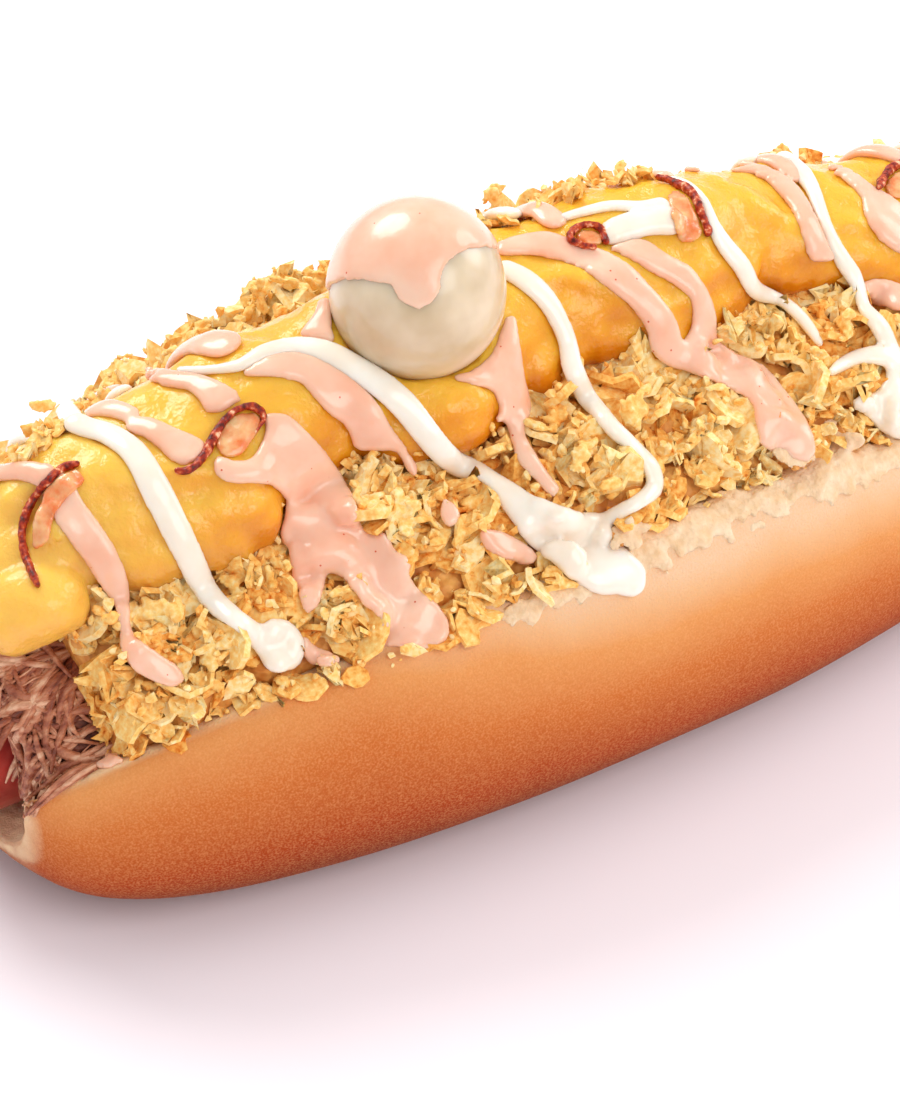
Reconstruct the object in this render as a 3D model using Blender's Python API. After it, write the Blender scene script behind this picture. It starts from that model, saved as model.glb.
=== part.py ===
"""A loaded hot dog. A long soft bun, split along its top, holds a sausage, shredded beef
and crushed potato chips under a thick ridge of pineapple sauce. A quail egg and curls of
bacon sit on the ridge, and white and pink sauces are drizzled across it.

Metres, +Z up. X runs along the bun, the near side is -Y, and the bun rests on Z = 0.
"""

import math
import random

import bmesh
import bpy
from mathutils import Euler, Vector, noise
from mathutils.bvhtree import BVHTree

MM = 0.001
SEED = 11

# Driving dimensions, in millimetres.
BUN_LENGTH = 174.0
BUN_WIDTH = 88.0
LIP_HEIGHT = 44.0
END_WIDTH = 43.0
END_LIP_HEIGHT = 26.0
END_UNDERSIDE = 5.2
FLAT_HALF_LENGTH = 58.0
END_ROUNDING = 7.0
END_THICKNESS_SHARE = 0.5
CHANNEL_FLOOR = 8.6
SAUSAGE_LENGTH = 190.0
SAUSAGE_RADIUS = 12.0
SAUSAGE_DOME = 8.0
BEEF_LENGTH = 168.0
BEEF_TOP = 40.0
CHIPS_LENGTH = 158.0
CHIPS_CROWN = 56.0
RIDGE_LENGTH = 178.0
RIDGE_CREST = 67.5
RIDGE_NEAR_WIDTH = 16.5
RIDGE_FAR_WIDTH = 11.0
EGG_CENTRE = (-17.0, -5.5, 71.6)
EGG_RADII = (12.0, 12.0, 12.4)
GAP = 0.45
FLAKE_COUNT = 78
STRAND_COUNT = 12

HALF_LENGTH = BUN_LENGTH / 2
SAUSAGE_LIFT = 0.6
SAUSAGE_HEIGHT = CHANNEL_FLOOR + SAUSAGE_RADIUS + SAUSAGE_LIFT
SIDE_GAP = 0.7

# Each drizzle is its name, its width and the (x, y) places that it runs through.
WHITE_DRIZZLES = (
    ("white_1", 4.0, ((-72, 20), (-67, 4), (-64, -5), (-61, -13), (-58, -22), (-54, -29))),
    ("white_2", 4.2, ((-60, 18), (-52, 0), (-40, -4), (-31, -10), (-22, -22), (-15, -31), (-9, -39))),
    ("white_3", 3.4, ((-8, 20), (-3, -4), (1, -14), (4, -25), (4, -32), (-6, -36))),
    ("white_4", 3.2, ((2, 14), (10, -2), (24, -4), (30, -11), (36, -17), (38, -25))),
    ("white_5", 3.0, ((44, 22), (47, 2), (48, -12), (49, -22), (45, -33))),
    ("white_6", 3.2, ((68, 18), (72, 4), (74, -8), (76, -20))),
)
PINK_DRIZZLES = (
    ("pink_1", 3.8, ((-80, 12), (-75, -4), (-71, -13), (-69, -19), (-66, -25))),
    ("pink_2", 8.0, ((-64, 10), (-58, -7), (-46, -13), (-41, -21), (-37, -31), (-33, -37))),
    ("pink_3", 5.0, ((-46, 18), (-40, 2), (-34, -11), (-29, -20))),
    ("pink_4", 4.0, ((-9, -17), (-10, -22), (-13, -31))),
    ("pink_5", 5.0, ((-6, 18), (0, -3), (9, -9), (16, -16), (19, -23))),
    ("pink_6", 5.0, ((8, 14), (14, -7), (22, -15), (23, -24), (27, -35))),
    ("pink_7", 4.4, ((28, 20), (34, 0), (41, -6), (46, -15))),
    ("pink_8", 4.0, ((48, 20), (54, -5), (60, -16), (63, -24))),
)

# Each bacon curl is a C-shaped slice that faces up and towards the near left: its name, the
# place of its middle, its radius, its first and last angle, and how much its radius grows.
BACON_CURLS = (
    ("bacon_1", (-75.5, -9.0), 8.6, 78, 242, 0.10),
    ("bacon_2", (-49.5, -12.5), 4.8, -12, 212, 0.75),
    ("bacon_3", (10.0, -6.5), 2.9, 20, 330, 0.0),
    ("bacon_4", (24.0, -6.0), 5.0, -14, 116, 0.25),
    ("bacon_5", (65.0, -5.0), 5.2, 35, 178, 0.10),
)
BACON_FACING = (-0.36, -0.48, 0.80)
BACON_THICKNESS = 1.8


def clear_scene():
    for obj in list(bpy.data.objects):
        bpy.data.objects.remove(obj)


def material(name, colour, roughness):
    made = bpy.data.materials.new(name)
    made.use_nodes = True
    shader = made.node_tree.nodes["Principled BSDF"]
    shader.inputs["Base Color"].default_value = (*colour, 1.0)
    shader.inputs["Roughness"].default_value = roughness
    shader.inputs["Metallic"].default_value = 0.0
    made.diffuse_color = (*colour, 1.0)
    return made


def mix(a, b, share):
    return a + (b - a) * share


def smooth_curve(points, count):
    """count + 1 points, evenly apart along a Catmull-Rom curve through the given ones."""
    steps = 12
    padded = [2 * points[0] - points[1], *points, 2 * points[-1] - points[-2]]
    dense = []
    for i in range(1, len(padded) - 2):
        p0, p1, p2, p3 = padded[i - 1 : i + 3]
        for k in range(steps):
            t = k / steps
            dense.append(
                0.5 * (2 * p1 + (p2 - p0) * t + (2 * p0 - 5 * p1 + 4 * p2 - p3) * t**2
                       + (3 * p1 - p0 - 3 * p2 + p3) * t**3)
            )
    dense.append(points[-1].copy())
    reach = [0.0]
    for a, b in zip(dense, dense[1:]):
        reach.append(reach[-1] + (b - a).length)
    made = []
    k = 0
    for i in range(count + 1):
        wanted = reach[-1] * i / count
        while k < len(dense) - 2 and reach[k + 1] < wanted:
            k += 1
        share = (wanted - reach[k]) / max(reach[k + 1] - reach[k], 1e-9)
        made.append(dense[k].lerp(dense[k + 1], min(share, 1.0)))
    return made


# The bun's outline and the surfaces of the layers, all in millimetres.


def fullness(x):
    """1 at the middle of the bun, falling to 0 at its ends."""
    power = 1.95
    return max(0.0, 1 - min(1.0, abs(x) / HALF_LENGTH) ** power) ** (1 / power)


def half_width(x):
    return mix(END_WIDTH, BUN_WIDTH, fullness(x)) / 2


def lip_height(x):
    return mix(END_LIP_HEIGHT, LIP_HEIGHT, fullness(x) ** 1.5)


def underside(x):
    past = max(0.0, abs(x) - FLAT_HALF_LENGTH) / (HALF_LENGTH - FLAT_HALF_LENGTH)
    return END_UNDERSIDE * past**2


def outer_wall(x):
    """Half of the bun's outer section, from its flat underside up to the lip."""
    full, low, wide = fullness(x), underside(x), half_width(x)
    shape = (
        (0.25, 0.0),
        (mix(0.38, 0.62, full), 0.0),
        (mix(0.72, 0.84, full), mix(0.13, 0.07, full)),
        (mix(0.92, 0.96, full), mix(0.28, 0.22, full)),
        (1.0, 0.46),
        (0.975, 0.70),
        (0.91, 0.92),
        (0.85, 1.0),
    )
    return [Vector((y * wide, mix(low, lip_height(x), z))) for y, z in shape]


def inner_wall(x):
    """Half of the channel's section, from the middle of its floor up to the lip."""
    full, high = fullness(x), lip_height(x)
    return [
        Vector((0.0, CHANNEL_FLOOR)),
        Vector((8.6, CHANNEL_FLOOR + 2.4)),
        Vector((mix(13.4, 15.8, full), mix(14.0, 18.5, full))),
        Vector((mix(15.0, 22.0, full), 0.66 * high)),
        Vector((mix(16.6, 29.5, full), 0.90 * high)),
        Vector((mix(17.8, 33.6, full), 0.985 * high)),
        Vector((0.85 * half_width(x), high)),
    ]


WALL_POINTS = 7


def bun_stations():
    middle = [8.0 * i for i in range(-9, 10)]
    ends = [76.0, 80.0, 83.2, 85.6, HALF_LENGTH]
    return [-x for x in reversed(ends)] + middle + ends


def channel_width(x, z):
    """Half the width of the channel at a height, along the same straight steps as the bun's mesh."""
    wall = smooth_curve(inner_wall(x), WALL_POINTS)
    for low, high in zip(wall, wall[1:]):
        if low.y <= z <= high.y:
            return mix(low.x, high.x, (z - low.y) / max(high.y - low.y, 1e-6))
    return wall[-1].x


BEEF_SHARES = (0.3, 0.55, 0.78)


def beef_edge(x):
    """The (y, z) place where the top of the beef meets the channel's wall."""
    z = 0.87 * lip_height(x)
    return channel_width(x, z) - SIDE_GAP, z


def beef_top(x, y):
    wide, edge = beef_edge(x)
    crown = BEEF_TOP - 2.0 * (x / HALF_LENGTH) ** 2
    return mix(edge, crown, 1 - min(1.0, abs(y) / wide) ** 2.4)


def chips_half_width(x):
    return channel_width(x, 0.96 * lip_height(x)) - 0.8


def chips_top(x, y):
    low = lip_height(x) + 1.3
    crown = CHIPS_CROWN - 11.0 * min(1.2, abs(x) / 82) ** 2.5
    return mix(low, crown, 1 - min(1.3, abs(y) / chips_half_width(x)) ** 2.4)


def ridge_half_width(x, side):
    """The pineapple's reach to its near (-1) or its far (+1) side, with its lobes."""
    near_lobes = (RIDGE_NEAR_WIDTH, 2.9, 37.0, -55.0)
    far_lobes = (RIDGE_FAR_WIDTH, 1.6, 31.0, -42.0)
    middle, swing, lobe, first = near_lobes if side < 0 else far_lobes
    wave = swing * math.cos(math.tau * (x - first) / lobe) + 0.9 * math.cos(math.tau * x / 13.5 + side)
    slimmer = 2.6 * max(0.0, x / 70)
    end = max(0.0, 1 - abs(2 * x / RIDGE_LENGTH) ** 7) ** 0.5
    return (middle + wave - slimmer) * end


def ease(t):
    t = max(0.0, min(1.0, t))
    return t * t * (3 - 2 * t)


def ridge_crest(x):
    left = 5.0 * ease((-x - 20) / 45) + 9.0 * max(0.0, (-x - 58) / 30) ** 1.6
    right = 9.5 * ease((x - 22) / 42) + 4.0 * max(0.0, (x - 64) / 24) ** 1.6
    return RIDGE_CREST - left - right + 0.6 * math.sin(x / 4.1)


def ridge_top(x, y):
    side = -1 if y < 0 else 1
    wide = ridge_half_width(x, side)
    if abs(y) >= wide:
        return chips_top(x, y)
    end = max(0.0, 1 - abs(2 * x / RIDGE_LENGTH) ** 9) ** 0.5
    rise = (ridge_crest(x) - chips_top(x, 0)) * end
    lumps = 1.2 * noise.noise(Vector((x, y, 3.0)) / 8.0) * end
    return chips_top(x, y) + (rise + lumps) * (1 - (abs(y) / wide) ** 2.6) ** 0.55


def bun_top(x, y):
    """The height of the lip and of the bun's outer side, or nothing past its widest place."""
    wall = smooth_curve(outer_wall(x), 24)[::-1]
    for high, low in zip(wall, wall[1:]):
        if high.x <= abs(y) <= low.x:
            return mix(high.y, low.y, (abs(y) - high.x) / max(low.x - high.x, 1e-6))
    return lip_height(x) if abs(y) < wall[0].x else 0.0


# Building meshes.


def object_from(name, bm, look):
    bmesh.ops.recalc_face_normals(bm, faces=bm.faces)
    bmesh.ops.triangulate(bm, faces=bm.faces)
    mesh = bpy.data.meshes.new(name)
    bmesh.ops.scale(bm, vec=(MM, MM, MM), verts=bm.verts)
    bm.to_mesh(mesh)
    bm.free()
    mesh.shade_smooth()
    mesh.set_sharp_from_angle(angle=math.radians(50))
    obj = bpy.data.objects.new(name, mesh)
    bpy.context.scene.collection.objects.link(obj)
    if look:
        mesh.materials.append(look)
    return obj


def skin(rings):
    """A closed bmesh over rings of equal length, with both ends capped."""
    bm = bmesh.new()
    loops = [[bm.verts.new(point) for point in ring] for ring in rings]
    for first, second in zip(loops, loops[1:]):
        for i in range(len(first)):
            j = (i + 1) % len(first)
            bm.faces.new((first[i], first[j], second[j], second[i]))
    bm.faces.new(loops[0])
    bm.faces.new(loops[-1])
    return bm


def tube(path, half_widths, half_heights, sides):
    """A closed tube along a path in millimetres, with an oval section that lies flat."""
    rings = []
    for i, point in enumerate(path):
        ahead = (path[min(i + 1, len(path) - 1)] - path[max(i - 1, 0)]).normalized()
        across = ahead.cross(Vector((0, 0, 1)))
        across = across.normalized() if across.length > 0.1 else Vector((0, 1, 0))
        up = across.cross(ahead).normalized()
        ring = []
        for k in range(sides):
            turn = math.tau * (k + 0.5) / sides
            sideways = across * (half_widths[i] * math.cos(turn))
            ring.append(point + sideways + up * (half_heights[i] * math.sin(turn)))
        rings.append(ring)
    return skin(rings)


def tree_of(obj):
    """The object's faces, in millimetres, for tests of whether pieces cross."""
    mesh = obj.data
    points = [obj.location / MM + v.co / MM for v in mesh.vertices]
    return BVHTree.FromPolygons(points, [p.vertices[:] for p in mesh.polygons])


def swollen_tree(bm, by):
    """The faces of a small piece, grown outwards, so that what it doesn't cross keeps a gap."""
    bm.normal_update()
    bmesh.ops.recalc_face_normals(bm, faces=bm.faces)
    bm.verts.index_update()
    points = [v.co + v.normal * by for v in bm.verts]
    return BVHTree.FromPolygons(points, [[v.index for v in f.verts] for f in bm.faces])


def is_clear(bm, others, by=GAP):
    grown = swollen_tree(bm, by)
    return not any(grown.overlap(other) for other in others)


def apply_modifiers(obj):
    graph = bpy.context.evaluated_depsgraph_get()
    mesh = bpy.data.meshes.new_from_object(obj.evaluated_get(graph))
    obj.modifiers.clear()
    obj.data = mesh


def largest_body(obj):
    """Drops the loose scraps that a Boolean can leave."""
    bm = bmesh.new()
    bm.from_mesh(obj.data)
    left = set(bm.verts)
    bodies = []
    while left:
        body = {left.pop()}
        edge = list(body)
        while edge:
            near = {e.other_vert(v) for v in edge for e in v.link_edges} - body
            body |= near
            edge = list(near)
        left -= body
        bodies.append(body)
    keep = max(bodies, key=len)
    bmesh.ops.delete(bm, geom=[v for v in bm.verts if v not in keep], context="VERTS")
    bm.to_mesh(obj.data)
    bm.free()


def join_flat_faces(obj):
    """Joins the faces of one plane that a Boolean has split, and drops its scraps."""
    bm = bmesh.new()
    bm.from_mesh(obj.data)
    bmesh.ops.dissolve_limit(bm, angle_limit=math.radians(0.6), verts=bm.verts, edges=bm.edges)
    bmesh.ops.triangulate(bm, faces=bm.faces)
    bm.to_mesh(obj.data)
    bm.free()


def join_onto(core, pieces):
    """One Boolean union of the core with all its pieces, which are then removed."""
    group = bpy.data.collections.new(core.name + "_pieces")
    bpy.context.scene.collection.children.link(group)
    for piece in pieces:
        bpy.context.scene.collection.objects.unlink(piece)
        group.objects.link(piece)
    join = core.modifiers.new("join", "BOOLEAN")
    join.operation = "UNION"
    join.operand_type = "COLLECTION"
    join.collection = group
    join.solver = "EXACT"
    join.use_self = True
    bpy.context.view_layer.update()
    apply_modifiers(core)
    for piece in pieces:
        bpy.data.objects.remove(piece)
    bpy.data.collections.remove(group)
    largest_body(core)
    join_flat_faces(core)


def cut_with(core, cutters):
    for cutter in cutters:
        cut = core.modifiers.new("cut", "BOOLEAN")
        cut.operation = "DIFFERENCE"
        cut.object = cutter
        cut.solver = "EXACT"
    bpy.context.view_layer.update()
    apply_modifiers(core)
    for cutter in cutters:
        bpy.data.objects.remove(cutter)
    largest_body(core)


def swollen_copy(obj, by):
    """A cutter: the object's shape grown by a distance in millimetres."""
    bm = bmesh.new()
    bm.from_mesh(obj.data)
    bm.normal_update()
    for vert, normal in [(v, v.normal.copy()) for v in bm.verts]:
        vert.co = vert.co + obj.location + normal * by * MM
    mesh = bpy.data.meshes.new(obj.name + "_cutter")
    bm.to_mesh(mesh)
    bm.free()
    cutter = bpy.data.objects.new(obj.name + "_cutter", mesh)
    bpy.context.scene.collection.objects.link(cutter)
    return cutter


# The pieces.


def make_bun(look):
    rings = []
    for x in bun_stations():
        outer = [Vector((p.x, max(p.y, underside(x)))) for p in smooth_curve(outer_wall(x), WALL_POINTS)]
        inner = smooth_curve(inner_wall(x), WALL_POINTS)
        past = max(0.0, abs(x) - (HALF_LENGTH - END_ROUNDING)) / END_ROUNDING
        full = max(END_THICKNESS_SHARE, (1 - min(1.0, past) ** 2) ** 0.5)
        below_lip = [min(i, WALL_POINTS - 1) for i in range(WALL_POINTS + 1)]
        middle = [(outer[i] + inner[i]) / 2 for i in below_lip]
        outer = [m.lerp(p, full) for p, m in zip(outer, middle)]
        inner = [m.lerp(p, full) for p, m in zip(inner, middle)]
        half = outer + inner[-2:0:-1]
        bottom = Vector((x, 0.0, inner[0].y))
        far = [Vector((x, p.x, p.y)) for p in half]
        near = [Vector((x, -p.x, p.y)) for p in reversed(half)]
        rings.append([*far, bottom, *near])
    return object_from("bun", skin(rings), look)


def make_sausage(look):
    sides = 16
    radius, half = SAUSAGE_RADIUS, SAUSAGE_LENGTH / 2
    turns = [math.radians(d) for d in (82, 62, 40, 18, 0)]
    dome = [(half - SAUSAGE_DOME * (1 - math.sin(a)), radius * math.cos(a)) for a in turns]
    profile = [(-x, r) for x, r in dome] + [(40.0 * i, radius) for i in (-1, 0, 1)] + dome[::-1]
    rings = []
    for x, r in profile:
        turns = [math.tau * k / sides for k in range(sides)]
        rings.append([Vector((x, r * math.cos(t), SAUSAGE_HEIGHT + r * math.sin(t))) for t in turns])
    return object_from("sausage", skin(rings), look)


def make_beef_core(look):
    over = SAUSAGE_RADIUS + SAUSAGE_LIFT
    rings = []
    inside = [x for x in bun_stations() if abs(x) < BEEF_LENGTH / 2 - 2]
    for x in [-BEEF_LENGTH / 2, *inside, BEEF_LENGTH / 2]:
        wide, edge = beef_edge(x)
        top = [(f * wide, beef_top(x, f * wide)) for f in BEEF_SHARES]
        foot = min(SAUSAGE_HEIGHT - 2.0, edge - 2.5)
        lowest = math.degrees(math.asin((foot - SAUSAGE_HEIGHT) / over))
        side = [(channel_width(x, z) - SIDE_GAP, z) for z in (edge, mix(foot, edge, 0.5), foot)]
        saddle = [
            (over * math.cos(a), SAUSAGE_HEIGHT + over * math.sin(a))
            for a in [math.radians(d) for d in (lowest, 20, 46, 68)]
        ]
        half = top + side + saddle
        far = [Vector((x, y, z)) for y, z in half]
        near = [Vector((x, -y, z)) for y, z in reversed(half)]
        rings.append([Vector((x, 0, beef_top(x, 0))), *far, Vector((x, 0, SAUSAGE_HEIGHT + over)), *near])
    return object_from("shredded_beef", skin(rings), look)


def beef_strands(rng, others):
    """Shreds that hang out of both ends, each one skipped where it would cross a neighbour."""
    made = []
    tries = 0
    while len(made) < 2 * STRAND_COUNT and tries < 900:
        tries += 1
        end = -1 if len(made) % 2 else 1
        y, z = rng.uniform(-19, 19), rng.uniform(25, 41)
        reach, drop = rng.uniform(5, 12), rng.uniform(-1, 6)
        lean = rng.uniform(-7, 7)
        start = Vector((end * (BEEF_LENGTH / 2 - 8), y, z))
        middle = start + Vector((end * (6 + reach * 0.4), lean * 0.4, rng.uniform(-0.5, 1.5)))
        tip = start + Vector((end * (8 + reach), lean, -drop))
        thick = rng.uniform(1.1, 1.9)
        path = smooth_curve([start, middle, tip], 4)
        wide = [thick, thick, thick, thick * 0.85, thick * 0.5]
        bm = tube(path, wide, [thick * 0.8] * 4 + [thick * 0.4], 5)
        if is_clear(bm, others):
            made.append(object_from("strand", bm, None))
        else:
            bm.free()
    return made


def crag(x, y, z):
    """The uneven height of packed crumbs, for the parts of the heap between the larger flakes."""
    return 1.7 * noise.noise(Vector((x, y, z)) / 3.1) + 0.8 * noise.noise(Vector((x, y, z)) / 1.7)


def make_chips_core(look):
    rings = []
    reach, step = CHIPS_LENGTH / 2, 4.9
    count = int(reach // step)
    for x in [-reach] + [step * i for i in range(-count + 1, count)] + [reach]:
        wide = beef_edge(x)[0]
        outer = chips_half_width(x)
        base = [(f * wide, beef_top(x, f * wide) + GAP) for f in (*BEEF_SHARES, 0.97)]
        rim = [(outer - 0.4, lip_height(x) - 1.6), (outer, lip_height(x) + 0.9)]
        rings.append([Vector((x, 0, beef_top(x, 0) + GAP))])
        tops = {}
        for side in (1, -1):
            edge = ridge_half_width(x, side) / outer
            shares = [mix(edge, 0.96, t) for t in (0.9, 0.6, 0.3)]
            across = [f * outer for f in shares]
            rough = [(y, chips_top(x, y) - 0.3 + crag(x, side * y, 2.0)) for y in across]
            inside = [(f * edge * outer, chips_top(x, f * edge * outer) - 0.4) for f in (1.0, 0.5)]
            tops[side] = [Vector((x, side * y, z)) for y, z in base + rim + rough + inside]
        rings[-1] += [*tops[1], Vector((x, 0, chips_top(x, 0) - 0.4)), *reversed(tops[-1])]
    return object_from("crushed_chips", skin(rings), look)


def flake(rng, size, place, tilt):
    """A thin crumpled plate with five uneven corners."""
    corners = 5
    top, low = [], []
    for k in range(corners):
        turn = math.tau * (k + rng.uniform(-0.22, 0.22)) / corners
        reach = size * rng.uniform(0.7, 1.1)
        bend = rng.uniform(-0.28, 0.28) * size
        top.append(Vector((reach * math.cos(turn), reach * math.sin(turn) * 0.8, bend + 0.65)))
        less = reach * 0.92
        low.append(Vector((less * math.cos(turn), less * math.sin(turn) * 0.8, bend - 0.65)))
    bm = skin([low, top])
    bmesh.ops.rotate(bm, cent=(0, 0, 0), matrix=tilt.to_matrix(), verts=bm.verts)
    bmesh.ops.translate(bm, vec=place, verts=bm.verts)
    return bm


def chip_flakes(rng, others):
    """Flakes spread evenly over both slopes and both ends, clear of the pieces around them."""
    made, places = [], []
    tries = 0
    while len(made) < FLAKE_COUNT and tries < 6000:
        tries += 1
        side = rng.choice((-1, 1))
        x = rng.uniform(-1, 1) * (CHIPS_LENGTH / 2 + 1.5)
        inner = ridge_half_width(x, side) + 1.0
        y = side * mix(inner, chips_half_width(x) + 1.0, rng.random())
        place = Vector((x, y, chips_top(x, y) + rng.uniform(-0.6, 0.5)))
        roll, pitch, spin = rng.uniform(-1, 1), rng.uniform(-1, 1), rng.uniform(0, math.tau)
        tilt = Euler((roll - 0.5 * side, pitch, spin))
        if any((place - other).length < 4.4 for other in places):
            continue
        bm = flake(rng, rng.uniform(3.2, 5.4), place, tilt)
        if is_clear(bm, others):
            places.append(place)
            made.append(object_from("flake", bm, None))
        else:
            bm.free()
    return made


def drizzle_stretches(width, places, on_ridge):
    """The stretches of one drizzle that lie on the ridge, or those that lie beside it."""
    curve = smooth_curve([Vector((x, y, 0)) for x, y in places], 13)
    stretches, run = [], []
    for point in curve:
        side = -1 if point.y < 0 else 1
        edge = ridge_half_width(point.x, side)
        inside = abs(point.y) < edge - 0.8 if on_ridge else abs(point.y) > edge + 2.6
        if inside:
            below = ridge_top(point.x, point.y) if on_ridge else chips_top(point.x, point.y)
            if abs(point.y) > chips_half_width(point.x) - 1.0:
                below = max(bun_top(point.x, point.y), below) + 1.4
            run.append(Vector((point.x, point.y, below + 0.35)))
        elif run:
            stretches.append(run)
            run = []
    stretches.append(run)
    return [run[::2] + run[-1:] if len(run) % 2 == 0 else run[::2] for run in stretches if len(run) > 3]


def drizzle_pieces(on_ridge, others):
    made = []
    for name, width, places in (*WHITE_DRIZZLES, *PINK_DRIZZLES):
        for path in drizzle_stretches(width, places, on_ridge):
            while len(path) > 2:
                wide = [width / 2] * len(path)
                if not on_ridge:
                    wide[-1] = width * 0.75 if path[-1].y < 0 else wide[-1]
                bm = tube(path, wide, [1.15] * len(path), 5)
                if is_clear(bm, others, 0.3):
                    made.append(object_from(name, bm, None))
                    break
                bm.free()
                path = path[:-1]
    return made


def make_ridge_core(look):
    reach = RIDGE_LENGTH / 2
    middle = [5.2 * i for i in range(-15, 16)]
    ends = [81.6, 85.0, 87.2, reach - 0.5]
    shares = (1.0, 0.95, 0.82, 0.58, 0.3)
    low_shares = (0.92, 0.6, 0.3)
    rings = []
    for x in [-e for e in reversed(ends)] + middle + ends:
        near, far = ridge_half_width(x, -1), ridge_half_width(x, 1)
        across = [-near * s for s in shares] + [0.0] + [far * s for s in reversed(shares)]
        top = [(y, ridge_top(x, y * 0.999) + GAP + 0.4) for y in across]
        beneath = [far * s for s in low_shares] + [0.0] + [-near * s for s in reversed(low_shares)]
        low = [(y, chips_top(x, y) + GAP) for y in beneath]
        rings.append([Vector((x, y, z)) for y, z in top + low])
    return object_from("pineapple_sauce", skin(rings), look)


def cap_edge(turn):
    """How far the pink cap on the egg reaches down, as an angle from its top, with its drips."""
    drip = 0.62 * math.exp(-(((turn + 1.75 + math.pi) % math.tau - math.pi) / 0.24) ** 2)
    return 1.02 + 0.16 * math.sin(2 * turn + 0.4) + 0.10 * math.sin(5 * turn) + drip


def make_egg(look):
    rows, columns = 13, 22
    radii = Vector(EGG_RADII)
    thickness = 0.5
    rings = []
    for i in range(rows + 1):
        down = mix(0.09, math.pi - 0.12, i / rows)
        ring = []
        for k in range(columns):
            turn = math.tau * k / columns
            flat = math.sin(down)
            outward = Vector((flat * math.cos(turn), flat * math.sin(turn), math.cos(down)))
            covered = max(0.0, min(1.0, (cap_edge(turn) - down) / 0.09 + 0.5))
            ring.append(outward * radii + outward * thickness * covered)
        rings.append(ring)
    egg = object_from("quail_egg", skin(rings), look)
    egg.location = Vector(EGG_CENTRE) * MM
    return egg


def make_bacon(name, place, radius, first, last, growth, look):
    """A C-shaped slice: a flat bar, thick at its rind and thin inside, swept along an arc."""
    steps = 10
    facing = Vector(BACON_FACING).normalized()
    right = Vector((0, 0, 1)).cross(facing).normalized()
    up = facing.cross(right)
    rings = []
    for i in range(steps + 1):
        share = i / steps
        turn = math.radians(mix(first, last, share))
        outward = right * math.cos(turn) + up * math.sin(turn)
        rind = radius * (1 + growth * share**3)
        taper = 0.5 + 0.5 * math.sin(math.pi * mix(0.1, 0.9, share)) ** 0.7
        inner = rind - max(2.0, 0.55 * radius) * taper
        thick = BACON_THICKNESS / 2 * taper
        section = ((inner, -0.5), (rind - 0.5, -1), (rind, -0.4), (rind, 0.4), (rind - 0.5, 1), (inner, 0.5))
        rings.append([outward * reach + facing * (level * thick) for reach, level in section])
    curl = object_from(name, skin(rings), look)
    x, y = place
    curl.location = Vector((x, y, ridge_top(x, y) + 1.4)) * MM
    return curl


def make_hot_dog():
    clear_scene()
    rng = random.Random(SEED)
    bun = make_bun(material("bun_crust", (0.72, 0.38, 0.14), 0.55))
    sausage = make_sausage(material("sausage_skin", (0.52, 0.09, 0.05), 0.35))
    beef = make_beef_core(material("beef", (0.27, 0.12, 0.09), 0.6))
    chips = make_chips_core(material("chips", (0.83, 0.62, 0.22), 0.6))
    ridge = make_ridge_core(material("pineapple", (0.90, 0.56, 0.10), 0.2))
    egg = make_egg(material("egg_white", (0.86, 0.80, 0.66), 0.3))
    bacon_look = material("bacon", (0.45, 0.05, 0.03), 0.35)
    bacon = [make_bacon(*curl, bacon_look) for curl in BACON_CURLS]

    join_onto(ridge, drizzle_pieces(True, [tree_of(chips), tree_of(bun)]))
    cut_with(ridge, [swollen_copy(piece, GAP) for piece in [egg, *bacon]])
    around = [tree_of(bun), tree_of(sausage)]
    join_onto(beef, beef_strands(rng, [*around, tree_of(chips), tree_of(ridge)]))
    around = [tree_of(bun), tree_of(sausage), tree_of(beef), tree_of(ridge)]
    join_onto(chips, chip_flakes(rng, around) + drizzle_pieces(False, around))

    whole = bpy.data.objects.new("hot_dog", None)
    bpy.context.scene.collection.objects.link(whole)
    for piece in [bun, sausage, beef, chips, ridge, egg, *bacon]:
        piece.parent = whole


make_hot_dog()
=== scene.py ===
# %% [markdown]
# # A loaded hot dog, dressed in Blender
#
# This lesson takes the plain solids of a hot dog and gives them the look of real food: baked
# crust, stringy beef, crumbled potato chips, wet pineapple sauce, a peeled quail egg, curls of
# bacon and two drizzled sauces. The solids come in as a fixed frame, and every new piece is
# made in the same place and at the same size as the solid that it stands for.

import math
import random

import bpy
import numpy as np
from mathutils import Matrix, Vector, noise
from mathutils.bvhtree import BVHTree


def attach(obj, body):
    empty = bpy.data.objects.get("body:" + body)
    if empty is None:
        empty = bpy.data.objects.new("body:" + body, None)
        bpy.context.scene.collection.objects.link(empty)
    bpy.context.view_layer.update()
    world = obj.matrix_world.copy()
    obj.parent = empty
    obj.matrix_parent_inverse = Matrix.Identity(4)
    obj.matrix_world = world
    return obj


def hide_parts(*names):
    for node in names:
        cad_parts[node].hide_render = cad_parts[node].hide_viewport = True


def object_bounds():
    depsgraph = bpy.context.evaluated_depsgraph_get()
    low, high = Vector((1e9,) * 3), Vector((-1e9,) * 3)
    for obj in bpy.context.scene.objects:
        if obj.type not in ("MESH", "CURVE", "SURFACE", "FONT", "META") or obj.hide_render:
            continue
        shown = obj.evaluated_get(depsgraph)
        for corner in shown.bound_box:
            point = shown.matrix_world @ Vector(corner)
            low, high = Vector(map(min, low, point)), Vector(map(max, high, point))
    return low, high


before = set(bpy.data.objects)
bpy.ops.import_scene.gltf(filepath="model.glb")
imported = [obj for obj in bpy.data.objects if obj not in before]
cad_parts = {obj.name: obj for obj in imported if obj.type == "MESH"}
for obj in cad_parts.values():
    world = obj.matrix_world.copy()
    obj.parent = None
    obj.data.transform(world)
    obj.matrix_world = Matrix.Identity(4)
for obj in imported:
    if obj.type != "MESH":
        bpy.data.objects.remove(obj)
solid_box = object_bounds()
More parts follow.
